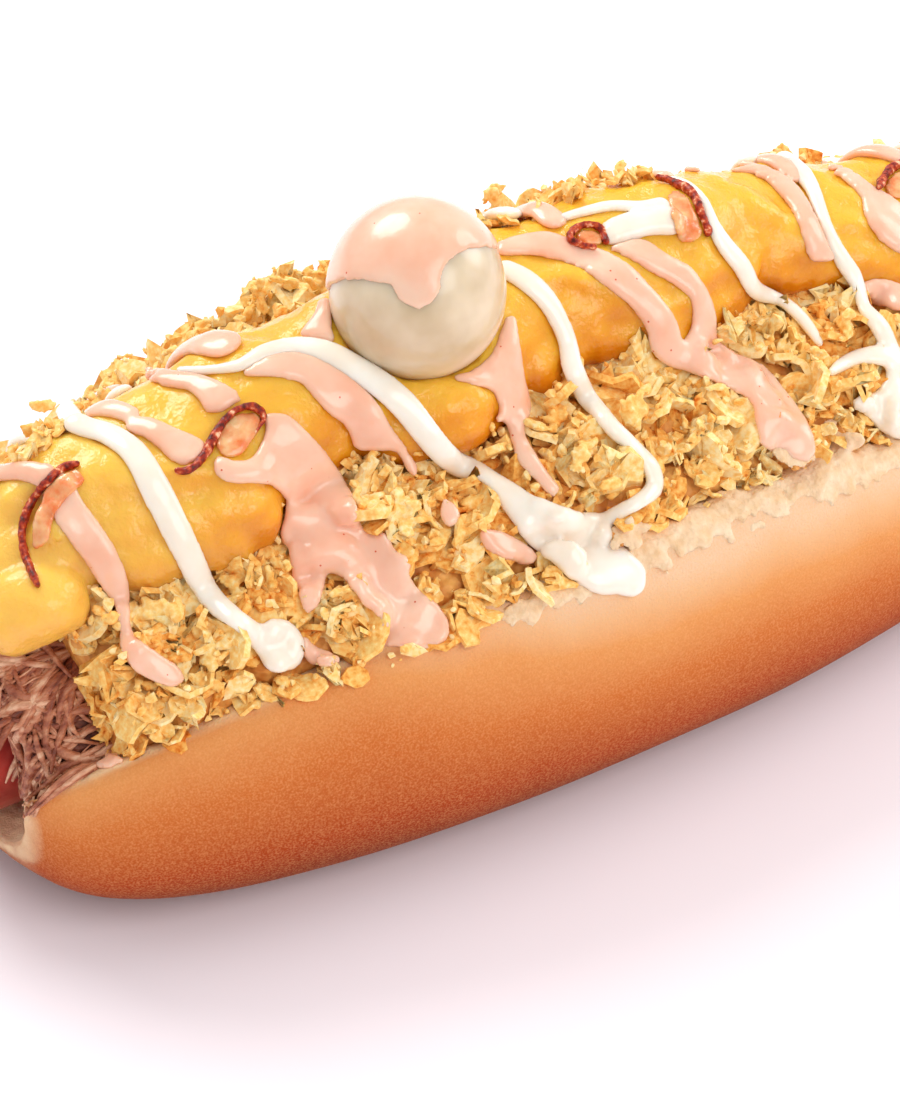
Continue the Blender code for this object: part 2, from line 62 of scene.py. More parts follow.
MM, NOISE_SEED = 0.001, 3
noise.seed_set(NOISE_SEED)
print("nodes:", ", ".join(sorted(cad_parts)))


def linked(name, data):
    """A new object of the scene that holds a mesh, a light or a camera."""
    made = bpy.data.objects.new(name, data)
    bpy.context.scene.collection.objects.link(made)
    return made


# %% [markdown]
# ## The camera
#
# The picture looks down on the near side of the bun from its left, through a long lens. The
# camera aims at a point inside the pile, so it needs no shift. The same numbers turn a place in
# the picture into a ray, which later lets sauce be drizzled where the picture shows it.

# %% Camera
AIM = Vector((-10.88, -3.92, 23.2)) * MM
TURN, RISE = math.radians(-32.5), math.radians(39.19)
DISTANCE = 658.7 * MM
LENS, SENSOR = 153.6, 36.0
PICTURE_WIDTH, PICTURE_HEIGHT = 900, 1096

backwards = Vector((math.sin(TURN) * math.cos(RISE), -math.cos(TURN) * math.cos(RISE), math.sin(RISE)))
rightwards = Vector((math.cos(TURN), math.sin(TURN), 0.0))
upwards = backwards.cross(rightwards)
eye = AIM + backwards * DISTANCE

camera = linked("camera", bpy.data.cameras.new("camera"))
camera.location = eye
camera.rotation_euler = backwards.to_track_quat("Z", "Y").to_euler()
camera.data.lens = LENS
camera.data.sensor_width = SENSOR
bpy.context.scene.camera = camera
print("camera at", [round(v, 3) for v in eye])


def picture_ray(across, down):
    """The direction from the camera through a place in the picture, in its pixels."""
    pixels = LENS / SENSOR * PICTURE_HEIGHT
    sideways = rightwards * ((across - PICTURE_WIDTH / 2) / pixels)
    downwards = upwards * ((PICTURE_HEIGHT / 2 - down) / pixels)
    return (sideways + downwards - backwards).normalized()


# %% [markdown]
# ## Studio
#
# Food like this is photographed on a white sweep, under a large soft light from behind and a
# weaker one from the front. The floor stays plain, so that only the hot dog has colour.

# %% Floor and lights
bpy.context.scene.view_settings.view_transform = "Standard"


def select_only(*pieces):
    bpy.ops.object.select_all(action="DESELECT")
    for piece in pieces:
        piece.select_set(True)
    bpy.context.view_layer.objects.active = pieces[0]


def soft_light(name, place, size, power, colour):
    light = linked(name, bpy.data.lights.new(name, "AREA"))
    light.location = Vector(place)
    light.rotation_euler = (Vector(place) - AIM).to_track_quat("Z", "Y").to_euler()
    light.data.shape = "DISK"
    light.data.size = size
    light.data.energy = power
    light.data.color = colour


FLOOR_SIZE, FLOOR_GAP = 6.0, 0.0002
bpy.ops.mesh.primitive_plane_add(size=FLOOR_SIZE, location=(0.0, 0.0, -FLOOR_GAP))
floor = bpy.context.object
floor.name = "floor"
floor_look = bpy.data.materials.new("white_sweep")
floor_look.use_nodes = True
floor_shader = floor_look.node_tree.nodes["Principled BSDF"]
floor_shader.inputs["Base Color"].default_value = (0.965, 0.902, 0.957, 1.0)
floor_shader.inputs["Roughness"].default_value = 0.9
floor.data.materials.append(floor_look)

# Each light has its place and size in metres, its power in watts and its colour.
soft_light("back_light", (-0.08, 0.78, 0.86), 0.7, 8.5, (1.0, 0.99, 0.97))
soft_light("front_light", (0.15, -0.90, 0.80), 0.8, 4.8, (1.0, 0.98, 0.96))
soft_light("side_light", (0.9, -0.1, 0.5), 0.6, 2.8, (1.0, 0.98, 0.98))
world = bpy.data.worlds.new("studio")
world.use_nodes = True
world.node_tree.nodes["Background"].inputs["Color"].default_value = (1.0, 1.0, 1.0, 1.0)
world.node_tree.nodes["Background"].inputs["Strength"].default_value = 0.69
bpy.context.scene.world = world

# %% [markdown]
# ## Helpers for materials
#
# Every finish here is a Principled shader whose colour and bump come from noise at the scale of
# the real food. One small class keeps the node trees short enough to read.

# %% Material helpers
def linear(red, green, blue):
    """A colour given as it looks on screen, from 0 to 255, in the values that a shader uses."""
    shares = [v / 255 for v in (red, green, blue)]
    return tuple(v / 12.92 if v <= 0.04045 else ((v + 0.055) / 1.055) ** 2.4 for v in shares)


class Finish:
    """A material under construction: its nodes are added one at a time and joined by name."""

    def __init__(self, name, roughness, **sockets):
        self.material = bpy.data.materials.new(name)
        self.material.use_nodes = True
        self.tree = self.material.node_tree
        self.shader = self.tree.nodes["Principled BSDF"]
        self.shader.inputs["Roughness"].default_value = roughness
        for socket, value in sockets.items():
            self.shader.inputs[socket.replace("_", " ")].default_value = value
        self.place = self.tree.nodes.new("ShaderNodeTexCoord").outputs["Object"]

    def link(self, output, entry):
        self.tree.links.new(output, entry)

    def noise(self, size_mm, detail, stretch=(1.0, 1.0, 1.0)):
        """Cloudy noise with lumps of a size in millimetres, stretched along the axes if asked."""
        mapping = self.tree.nodes.new("ShaderNodeMapping")
        mapping.inputs["Scale"].default_value = [1.0 / s for s in stretch]
        self.link(self.place, mapping.inputs["Vector"])
        made = self.tree.nodes.new("ShaderNodeTexNoise")
        made.inputs["Scale"].default_value = 1.0 / (size_mm * MM)
        made.inputs["Detail"].default_value = detail
        self.link(mapping.outputs["Vector"], made.inputs["Vector"])
        return made.outputs["Fac"]

    def cells(self, size_mm):
        """The distance to the nearest of many scattered points, for specks and grains."""
        made = self.tree.nodes.new("ShaderNodeTexVoronoi")
        made.inputs["Scale"].default_value = 1.0 / (size_mm * MM)
        self.link(self.place, made.inputs["Vector"])
        return made.outputs["Distance"]

    def attribute(self, name):
        made = self.tree.nodes.new("ShaderNodeAttribute")
        made.attribute_name = name
        return made.outputs["Fac"]

    def ramp(self, value, *stops):
        """Screen colours, or greys, for a value, each stop being (position, colour or grey)."""
        made = self.tree.nodes.new("ShaderNodeValToRGB")
        band = made.color_ramp.elements
        while len(band) < len(stops):
            band.new(0.5)
        for element, (position, colour) in zip(band, stops):
            element.position = position
            element.color = (*(linear(*colour) if isinstance(colour, tuple) else (colour,) * 3), 1.0)
        self.link(value, made.inputs["Fac"])
        return made.outputs["Color"]

    def two_tone(self, value, dark, light):
        """A soft change from one screen colour to another, round the middle of a noise."""
        return self.ramp(value, (0.35, dark), (0.65, light))

    def blend(self, share, first, second):
        """Two colours, mixed by a share that may be a number or another output."""
        made = self.tree.nodes.new("ShaderNodeMix")
        made.data_type = "RGBA"
        for entry, value in ((made.inputs[0], share), (made.inputs[6], first), (made.inputs[7], second)):
            if isinstance(value, bpy.types.NodeSocket):
                self.link(value, entry)
            elif isinstance(value, tuple):
                entry.default_value = (*linear(*value), 1.0)
            else:
                entry.default_value = value
        return made.outputs[2]

    def sum(self, first, second, weight):
        made = self.tree.nodes.new("ShaderNodeMath")
        made.operation = "MULTIPLY_ADD"
        self.link(second, made.inputs[0])
        made.inputs[1].default_value = weight
        self.link(first, made.inputs[2])
        return made.outputs["Value"]

    def colour(self, output):
        self.link(output, self.shader.inputs["Base Color"])

    def bump(self, height, depth_mm, strength):
        made = self.tree.nodes.new("ShaderNodeBump")
        made.inputs["Strength"].default_value = strength
        made.inputs["Distance"].default_value = depth_mm * MM
        self.link(height, made.inputs["Height"])
        self.link(made.outputs["Normal"], self.shader.inputs["Normal"])

    def under_skin(self, weight, depth_mm, reds):
        """Light that enters the food and comes out nearby, deepest for red."""
        self.shader.inputs["Subsurface Weight"].default_value = weight
        self.shader.inputs["Subsurface Scale"].default_value = depth_mm * MM
        self.shader.inputs["Subsurface Radius"].default_value = reds


# %% [markdown]
# ## Helpers for shapes
#
# A solid of the frame is never changed. Where its form is right and only its facets are wrong,
# a copy of it is merged, turned back into four-sided faces and subdivided, or remeshed in tiny
# voxels and smoothed, which melts the facets as warm food would.

# %% Shape helpers
def finish_modifier(piece, kind, **settings):
    """Adds a modifier, sets it and applies it at once."""
    modifier = piece.modifiers.new(kind.lower(), kind)
    for name, value in settings.items():
        setattr(modifier, name, value)
    select_only(piece)
    bpy.ops.object.modifier_apply(modifier=modifier.name)


def copy_of_node(node, name):
    """A new piece with the merged mesh of a solid."""
    piece = linked(name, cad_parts[node].data.copy())
    piece.data.materials.clear()
    select_only(piece)
    bpy.ops.object.mode_set(mode="EDIT")
    bpy.ops.mesh.select_all(action="SELECT")
    bpy.ops.mesh.remove_doubles(threshold=0.002 * MM)
    bpy.ops.mesh.customdata_custom_splitnormals_clear()
    bpy.ops.object.mode_set(mode="OBJECT")
    return piece


def subdivided(piece):
    """Makes four-sided faces again from the triangles of a cage, and subdivides them."""
    bpy.ops.object.mode_set(mode="EDIT")
    bpy.ops.mesh.select_all(action="SELECT")
    bpy.ops.mesh.tris_convert_to_quads(
        face_threshold=math.radians(60), shape_threshold=math.radians(120)
    )
    bpy.ops.object.mode_set(mode="OBJECT")
    finish_modifier(piece, "SUBSURF", levels=3, render_levels=3)


def melt(piece, voxel_mm, passes):
    """Remeshes a piece in small voxels and smooths its facets away."""
    finish_modifier(piece, "REMESH", mode="VOXEL", voxel_size=voxel_mm * MM, use_smooth_shade=True)
    finish_modifier(piece, "SMOOTH", factor=0.5, iterations=passes)


def points_of(piece):
    flat = np.empty(len(piece.data.vertices) * 3)
    piece.data.vertices.foreach_get("co", flat)
    return flat.reshape(-1, 3)


def normals_of(piece):
    flat = np.empty(len(piece.data.vertices) * 3)
    piece.data.vertices.foreach_get("normal", flat)
    return flat.reshape(-1, 3)


def move_points(piece, points):
    piece.data.vertices.foreach_set("co", np.asarray(points, float).ravel())
    piece.data.update()


def push_out(piece, amounts_mm):
    """Moves each point along its normal, by its own amount in millimetres."""
    move_points(piece, points_of(piece) + normals_of(piece) * (amounts_mm * MM)[:, None])


def cloud(points, size_mm, seed=0.0):
    """Smooth noise between -1 and 1 at each point, with lumps of a size in millimetres."""
    scale = 1.0 / (size_mm * MM)
    drawn = [noise.noise(Vector((x * scale + seed, y * scale - seed, z * scale))) for x, y, z in points]
    return np.array(drawn)


def soft_step(values, start, slope):
    """0 up to a start value, and then a slope up to 1, as a share between 0 and 1."""
    return np.clip((values - start) * slope, 0, 1)


def tint(piece, name, values):
    """Stores one number for each point, for the materials to read."""
    layer = piece.data.attributes.new(name, "FLOAT", "POINT")
    layer.data.foreach_set("value", np.asarray(values, float))


def dress(piece, look, slot, *nodes):
    """Gives a finished piece its material and its body, and hides the solids that it stands for. The slot
    is not used.
    """
    piece.data.materials.clear()
    piece.data.materials.append(look)
    piece.data.shade_smooth()
    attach(piece, "root")
    if nodes:
        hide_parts(*nodes)
    print(piece.name, "has", len(piece.data.polygons), "faces")


# %% [markdown]
# ## The bun
#
# A soft roll, baked golden brown below and left pale where it was split. Its colour is also darker
# towards the floor and at its left end as painted shade. The solid already has its form as a cage of
# four-sided faces, so subdividing a copy gives the smooth crust. Noise then adds the slight waves of
# a hand-made roll, and a torn, crumbly edge along the lips.

# %% Bun outline
BUN_HALF_LENGTH = 87.0
BUN_HALF_WIDTH, BUN_END_HALF_WIDTH = 44.0, 21.5
LIP_HEIGHT, END_LIP_HEIGHT = 44.0, 26.0
OVAL_POWER, LIP_POWER = 1.95, 1.5


def fullness(x_mm):
    """1 at the middle of the bun and 0 at its ends, as the width of the roll swells."""
    share = np.clip(np.abs(x_mm) / BUN_HALF_LENGTH, 0.0, 1.0)
    return (1.0 - share**OVAL_POWER) ** (1 / OVAL_POWER)


def lip_height(x_mm):
    return END_LIP_HEIGHT + (LIP_HEIGHT - END_LIP_HEIGHT) * fullness(x_mm) ** LIP_POWER


def bun_half_width(x_mm):
    return BUN_END_HALF_WIDTH + (BUN_HALF_WIDTH - BUN_END_HALF_WIDTH) * fullness(x_mm)


# %% Bun shape
bun = copy_of_node("bun", "split_bun")
subdivided(bun)
skin_points = points_of(bun)
places = skin_points / MM
across = np.abs(places[:, 1]) / bun_half_width(places[:, 0])
height = places[:, 2] / lip_height(places[:, 0])
facing = normals_of(bun)
end_on = np.abs(facing[:, 0])
inward = facing[:, 1] * np.sign(places[:, 1])
# Painted shade: this share is 0 at the left end and lifts the upper crust to the right of it, so that end
# stays darker.
lit_beyond_left_end = np.clip((places[:, 0] + 45.0) / 35.0, 0.0, 1.0)

# The soft crumb shows inside the walls and as a pale rim on the two cut ends.
above_floor = soft_step(height, 0.2, 8)
inner = np.clip((0.93 - across) * 12, 0, 1) * above_floor
crumb = np.clip(inner * np.clip(0.35 - inward, 0, 1) * 2, 0, 1) * (1.0 - 0.6 * np.clip(end_on, 0, 1))
end_face = soft_step(end_on, 0.92, 14) * soft_step(height, 0.15, 8)
patches = np.clip(0.65 + 0.3 * cloud(skin_points, 3.0, 1.0), 0, 1)
crumb = np.maximum(crumb, end_face * patches)

# The crust waves a little, and the lips are torn.
torn = soft_step(height, 0.93, 14)
wave = 0.35 * cloud(skin_points, 24.0, 3.0) * (places[:, 2] > 2.0)
tear = torn * (0.75 * cloud(skin_points, 3.2, 9.0) + 0.35 * cloud(skin_points, 1.2, 5.0) - 0.25)
grain = crumb * (0.35 * cloud(skin_points, 1.6, 7.0))
places += facing * (wave + tear + grain - 0.2 * torn)[:, None]
places[:, 2] = np.maximum(places[:, 2], 0.0)
move_points(bun, places * MM)

# The crust is darker near the floor, partly its bake and partly painted shade, and painted shade darkens
# its upper part at the left end.
tint(bun, "bake_and_shade", np.clip(height, 0, 1) - 0.17 + 0.23 * lit_beyond_left_end * np.clip(1.6 * height, 0, 1))
tint(bun, "crumb", crumb)

# %% Bun finish
crust = Finish("baked_and_shaded_crust", 0.62, Specular_IOR_Level=0.06)
# Painted shade: the low crust and the left end take the darker stops of this ramp, along with the real
# bake.
bake_and_shade = crust.sum(crust.attribute("bake_and_shade"), crust.noise(13.0, 3.0), 0.12)
baked_and_shaded = crust.ramp(
    bake_and_shade,
    (0.10, (130, 40, 12)),
    (0.30, (168, 64, 24)),
    (0.62, (203, 110, 50)),
    (0.83, (225, 150, 86)),
    (0.93, (232, 180, 132)),
    (1.00, (236, 197, 160)),
)
grain = crust.ramp(crust.noise(0.3, 2.0), (0.40, 0.0), (0.70, 0.30))
grained = crust.blend(grain, baked_and_shaded, (244, 180, 120))
crust.colour(crust.blend(crust.attribute("crumb"), grained, (247, 220, 178)))
crust.bump(crust.sum(crust.noise(0.32, 3.0), crust.noise(2.6, 3.0), 0.8), 0.2, 0.8)
crust.under_skin(0.18, 1.2, (1.0, 0.5, 0.25))
dress(bun, crust.material, "bun", "bun")

# %% [markdown]
# ## The sausage
#
# A plain cooked sausage lies in the channel, and only its domed ends show. Its solid is a cage
# of even faces too, so a subdivided copy is enough, with a wet red skin.

# %% Sausage
sausage = copy_of_node("sausage", "cooked_sausage")
subdivided(sausage)
skin = Finish("sausage_skin", 0.28, Coat_Weight=0.4, Coat_Roughness=0.15)
skin.colour(skin.two_tone(skin.noise(5.0, 4.0), (150, 38, 34), (190, 66, 58)))
skin.bump(skin.noise(2.2, 3.0, (3.0, 1.0, 1.0)), 0.15, 0.5)
skin.under_skin(0.2, 1.5, (1.0, 0.3, 0.2))
dress(sausage, skin.material, "sausage", "sausage")

# %% [markdown]
# ## Where sauces and toppings lie
#
# A squeezed sauce lies on whatever is under it. Rays find that surface: from the camera for a
# place in the picture, and straight down for a place on the far side. The piles are read as
# search trees, and the nearest hit counts.

# %% Finding the surface
HIGH_ABOVE, FAR_BEYOND = 150.0, 130


def in_picture(point):
    """The pixel at which the camera sees a point."""
    offset = Vector(point) - eye
    pixels = LENS / SENSOR * PICTURE_HEIGHT / -offset.dot(backwards)
    across_px = PICTURE_WIDTH / 2 + offset.dot(rightwards) * pixels
    return across_px, PICTURE_HEIGHT / 2 - offset.dot(upwards) * pixels


def tree_of(piece):
    return BVHTree.FromPolygons(
        [vertex.co.copy() for vertex in piece.data.vertices],
        [tuple(face.vertices) for face in piece.data.polygons],
    )


def first_hit(trees, start, direction):
    """The place and normal where a ray first meets one of the pieces, or None."""
    best = None
    for tree in trees:
        place, normal, _, distance = tree.ray_cast(start, direction)
        if place is not None and (best is None or distance < best[2]):
            best = (place, normal, distance)
    return best[:2] if best else None


def below(trees, x_mm, y_mm):
    """Where a ray from high above comes down on the pieces."""
    return first_hit(trees, Vector((x_mm, y_mm, HIGH_ABOVE)) * MM, Vector((0.0, 0.0, -1.0)))


def beyond_end(tree, end, half_width_mm, low_mm, high_mm):
    """Where a level ray towards one end of a heap meets it, at a random width and height."""
    level = (random.uniform(-half_width_mm, half_width_mm), random.uniform(low_mm, high_mm))
    return first_hit([tree], Vector((end * FAR_BEYOND, *level)) * MM, Vector((-end, 0.0, 0.0)))


def seen_at(trees, across_px, down_px):
    return first_hit(trees, eye, picture_ray(across_px, down_px))


# %% [markdown]
# ## Stamping small shapes
#
# Crumbs, flakes and drops come in hundreds. Each kind is modelled once, with a few dozen faces,
# and its points are then copied into one mesh, each copy with its own turn, size and tint.

# %% Stamps
def shape_of(piece):
    """The points and faces of a modelled shape, kept as a stamp while its object goes away."""
    corners = points_of(piece)
    faces = [tuple(face.vertices) for face in piece.data.polygons]
    mesh = piece.data
    bpy.data.objects.remove(piece)
    bpy.data.meshes.remove(mesh)
    return corners, faces


def lie_flat(normal, spin):
    """A turn that lays a shape on a surface with the given normal, spun about it."""
    return normal.to_track_quat("Z", "Y").to_matrix() @ Matrix.Rotation(spin, 3, "Z")


def leaning(normal, tilt):
    """A direction near a normal, tipped at random."""
    return (normal + Vector([random.gauss(0.0, tilt) for _ in range(3)])).normalized()


def mesh_piece(name, points_mm, faces, tones):
    """A new piece from its points, its faces and one tone for each point."""
    mesh = bpy.data.meshes.new(name)
    mesh.from_pydata((np.asarray(points_mm) * MM).tolist(), [], faces)
    piece = linked(name, mesh)
    tint(piece, "tone", tones)
    return piece


def stamped(name, stamps):
    """One piece of many copies. A stamp is a shape, a turn, three sizes and a place in mm."""
    points, faces, tones, count = [], [], [], 0
    for (corners, outline), turn, sizes, place, tone in stamps:
        turned = (corners * np.asarray(sizes)) @ np.asarray(turn).T + np.asarray(place)
        points.append(turned)
        faces.extend(tuple(i + count for i in face) for face in outline)
        tones.extend([tone] * len(corners))
        count += len(corners)
    return mesh_piece(name, np.concatenate(points), faces, tones)


def ball_shape(rounds):
    """A round stamp, one unit across."""
    bpy.ops.object.select_all(action="DESELECT")
    bpy.ops.mesh.primitive_ico_sphere_add(subdivisions=rounds, radius=0.5)
    return shape_of(bpy.context.object)


def roughened(piece, amount, size, seed):
    """Moves the points of a modelled shape, one unit across, by smooth noise."""
    shift = Vector((seed, -seed, seed))
    corners = [vertex.co for vertex in piece.data.vertices]
    move_points(piece, [co + noise.noise_vector(co * size + shift) * amount for co in corners])


# %% [markdown]
# ## The pineapple sauce
#
# A thick translucent sauce with pieces of fruit was spooned on in overlapping lobes. Six flattened
# balls are joined to a copy of the solid where the picture shows fruit. Remeshing melts them into
# one skin, and soft noise makes it lumpy. Its colour is painted lighter where it faces up and darker
# amber where it faces sideways, as painted light and shade from above, and it is palest at the left end.

# %% Pineapple ridge
# Fruit that bulges under the sauce: its place in the picture, and its three sizes in millimetres.
FRUIT = (
    (34, 606, (14.0, 10.0, 11.0)),
    (14, 622, (9.0, 8.0, 10.0)),
    (262, 517, (7.0, 8.5, 3.4)),
    (157, 566, (8.5, 6.0, 3.2)),
    (458, 418, (9.5, 9.5, 3.4)),
    (543, 376, (6.0, 8.0, 3.2)),
)
ridge = copy_of_node("pineapple_sauce", "pineapple_ridge")
ridge_tree = tree_of(ridge)
FRUIT_SINK = 0.2
ball = ball_shape(3)
bulges = []
for across_px, down_px, sizes in FRUIT:
    place, normal = seen_at([ridge_tree], across_px, down_px)
    bulges.append((ball, lie_flat(normal, 0.0), sizes, (place - normal * FRUIT_SINK * MM) / MM, 0.0))
fruit = stamped("fruit", bulges)
select_only(ridge, fruit)
bpy.ops.object.join()
melt(ridge, 0.8, 16)
places = points_of(ridge)
swell = 0.55 + 0.75 * cloud(places, 7.5, 2.0)
swell = swell + 0.5 * cloud(places, 3.4, 4.0) + 0.16 * cloud(places, 1.6, 1.0)
push_out(ridge, swell)
PALE_START, PALE_REACH = -46.0, 30.0
tint(ridge, "pale_end", np.clip((PALE_START - places[:, 0] / MM) / PALE_REACH, 0.0, 1.0) * 0.7)
# Painted light: the colour is lighter where the sauce faces up, towards the light above.
tint(ridge, "lit", np.clip(0.15 + 0.75 * normals_of(ridge)[:, 2], 0.0, 1.0))

# %% Pineapple finish
gel = Finish("pineapple_gel", 0.11, Specular_IOR_Level=0.45)
# Painted light and shade: the syrup is paler yellow where it faces up and darker amber where it faces
# sideways.
syrup_lit_and_shaded = gel.ramp(
    gel.sum(gel.attribute("lit"), gel.noise(7.0, 3.0), 0.4),
    (0.34, (214, 124, 12)),
    (0.66, (237, 158, 28)),
    (1.00, (249, 188, 62)),
)
gel.colour(gel.blend(gel.attribute("pale_end"), syrup_lit_and_shaded, (252, 204, 98)))
gel.bump(gel.sum(gel.noise(2.6, 4.0), gel.noise(0.7, 3.0), 0.4), 0.6, 0.6)
gel.under_skin(0.65, 3.0, (1.0, 0.65, 0.2))
dress(ridge, gel.material, "pineapple", "pineapple_sauce")

# %% [markdown]
# ## Sauce paths
#
# The two sauces were squeezed across the hot dog in a zigzag. Their near side is followed in the
# picture: each entry is a place in it, in pixels, with the width of the ribbon in millimetres.
# Wide sheets are given by their outline instead. The far side, which the picture hides, is laid
# out from above, in millimetres.

# %% Sauce paths
WHITE_RIBBONS = {
    "left": ((62, 392, 3.0), (75, 425, 3.6), (108, 437, 4.0), (135, 457, 4.2), (160, 500, 4.4),
        (185, 550, 4.1), (205, 593, 3.8), (232, 619, 3.4), (258, 638, 3.6), (279, 652, 6.2)),
    "middle": ((180, 373, 1.4), (212, 372, 1.6), (242, 367, 2.2), (265, 355, 3.0), (295, 349, 3.4),
        (325, 354, 3.8), (352, 368, 4.0), (380, 386, 4.2), (405, 407, 4.2), (430, 437, 4.0),
        (452, 461, 3.6), (480, 476, 3.6), (502, 492, 4.0), (525, 512, 5.0)),
    "right": ((505, 272, 3.6), (525, 283, 3.9), (545, 301, 3.4), (560, 326, 3.0), (568, 350, 3.0),
        (573, 372, 3.2), (582, 392, 3.2), (597, 412, 3.0), (613, 431, 2.9), (632, 450, 3.1),
        (649, 470, 3.3), (652, 488, 3.0), (640, 502, 2.4), (615, 517, 2.6), (597, 530, 3.4)),
    "crest": ((545, 226, 1.0), (575, 217, 1.8), (610, 209, 2.2), (640, 210, 2.4), (662, 207, 2.8)),
    "bacon": ((670, 181, 1.0), (688, 187, 1.2), (703, 203, 1.5), (711, 225, 2.2), (722, 246, 3.2),
        (740, 268, 3.4), (752, 290, 3.0), (775, 300, 2.3), (795, 315, 2.5), (810, 332, 2.0),
        (820, 346, 1.2)),
    "end": ((783, 161, 3.2), (800, 175, 3.4), (812, 192, 2.6), (820, 215, 2.3), (828, 236, 2.3),
        (838, 256, 2.8), (851, 276, 3.0), (858, 296, 2.6), (862, 310, 2.6), (876, 326, 3.4),
        (886, 346, 3.6), (893, 366, 4.2)),
    "arm": ((828, 375, 1.4), (840, 367, 2.2), (857, 360, 2.8), (876, 357, 3.4), (892, 360, 4.0)),
}
WHITE_SHEETS = {
    "film": ((600, 226), (622, 216), (650, 211), (668, 208), (680, 222), (676, 236), (650, 238),
        (622, 246), (606, 246)),
    "drop": ((258, 640), (262, 626), (276, 619), (292, 624), (302, 638), (304, 652), (296, 666),
        (282, 674), (270, 672), (260, 660)),
    "puddle": ((510, 502), (535, 498), (560, 508), (582, 512), (602, 516), (613, 527), (616, 541),
        (630, 555), (643, 568), (643, 588), (633, 597), (615, 595), (597, 595), (580, 587), (565, 577),
        (553, 565), (538, 554), (522, 540), (512, 522)),
    "far_puddle": ((845, 404), (858, 396), (872, 392), (882, 382), (884, 366), (890, 352), (908, 352),
        (926, 380), (928, 418), (912, 438), (892, 438), (874, 428), (862, 416)),
}
PINK_SHEETS = {
    "left": ((45, 480), (68, 475), (82, 500), (100, 525), (115, 548), (127, 575), (130, 600),
        (131, 628), (142, 642), (160, 655), (178, 668), (184, 682), (170, 688), (150, 680), (132, 668),
        (122, 650), (120, 628), (112, 605), (98, 582), (84, 560), (68, 540), (52, 515)),
    "upper": ((138, 366), (170, 371), (205, 377), (230, 388), (242, 399), (234, 406), (222, 413),
        (206, 413), (200, 402), (190, 394), (172, 390), (152, 384)),
    "lower": ((126, 420), (150, 419), (175, 429), (200, 440), (206, 450), (200, 461), (186, 467),
        (172, 463), (160, 451), (142, 438), (128, 434)),
    "sheet": ((262, 415), (285, 415), (302, 428), (318, 445), (332, 462), (345, 482), (355, 500),
        (360, 515), (363, 528), (374, 534), (386, 531), (392, 541), (396, 551), (411, 560), (409, 575),
        (420, 590), (437, 605), (449, 622), (449, 638), (439, 647), (420, 651), (400, 649), (380, 645),
        (381, 630), (375, 615), (362, 606), (354, 594), (345, 582), (334, 574), (327, 574), (325, 590),
        (318, 608), (310, 614), (303, 608), (298, 595), (291, 578), (290, 565), (287, 550), (280, 540),
        (279, 530), (284, 515), (282, 500), (272, 488), (255, 484), (235, 484), (221, 480), (214, 470),
        (218, 457), (234, 462), (250, 460), (260, 445), (265, 430)),
    "beside_white": ((243, 372), (262, 360), (282, 354), (310, 356), (336, 367), (356, 382), (376, 402),
        (391, 427), (405, 446), (417, 470), (412, 480), (404, 468), (396, 452), (375, 452), (356, 450),
        (351, 438), (344, 425), (325, 412), (310, 395), (298, 384), (272, 379), (246, 378)),
    "under_egg": ((447, 378), (470, 372), (490, 355), (503, 325), (508, 310), (515, 318), (519, 345),
        (524, 380), (530, 405), (528, 418), (524, 432), (532, 450), (546, 472), (560, 492), (552, 499),
        (535, 483), (516, 460), (509, 440), (505, 425), (493, 423), (497, 408), (490, 393), (475, 388),
        (458, 384)),
    "crest": ((497, 243), (520, 236), (548, 233), (575, 242), (605, 252), (632, 268), (650, 288),
        (668, 308), (678, 328), (681, 345), (692, 356), (720, 372), (745, 376), (765, 388), (780, 405),
        (788, 425), (760, 440), (755, 415), (745, 400), (715, 386), (690, 374), (665, 366), (650, 350),
        (645, 328), (630, 308), (605, 288), (580, 272), (555, 262), (525, 258), (497, 258)),
    "bacon": ((603, 250), (640, 240), (668, 256), (690, 268), (706, 290), (715, 315), (718, 338),
        (732, 352), (752, 360), (770, 372), (788, 395), (802, 415), (813, 438), (813, 455), (806, 463),
        (803, 477), (797, 462), (770, 453), (757, 440), (762, 420), (752, 395), (735, 372), (728, 362),
        (712, 357), (690, 356), (682, 345), (690, 325), (688, 300), (672, 286), (650, 274), (630, 262)),
    "right": ((668, 169), (700, 162), (738, 162), (768, 168), (792, 182), (808, 202), (820, 228),
        (830, 250), (838, 262), (822, 263), (808, 260), (802, 242), (795, 222), (783, 203), (766, 185),
        (745, 177), (715, 172), (685, 176)),
    "end": ((815, 165), (845, 168), (870, 185), (895, 200), (915, 220), (925, 250), (905, 258),
        (880, 243), (865, 222), (858, 198), (838, 180)),
    "end_drop": ((860, 282), (880, 278), (902, 286), (915, 302), (900, 314), (876, 306), (862, 297)),
    "pool": ((672, 336), (690, 344), (712, 352), (735, 358), (765, 372), (790, 398), (808, 430),
        (800, 455), (775, 450), (757, 430), (750, 402), (730, 382), (705, 374), (680, 362), (668, 348)),
    "egg_foot": ((318, 300), (330, 302), (332, 330), (336, 344), (320, 342), (300, 338), (306, 326),
        (314, 316)),
    "beef_smear": ((92, 758), (104, 752), (120, 753), (128, 760), (116, 768), (100, 772)),
    "smear_1": ((440, 498), (452, 503), (461, 518), (451, 530), (441, 520)),
    "smear_2": ((478, 528), (505, 534), (536, 554), (530, 566), (500, 560), (481, 545)),
    "smear_3": ((300, 632), (318, 648), (342, 660), (330, 668), (310, 664), (299, 648)),
}
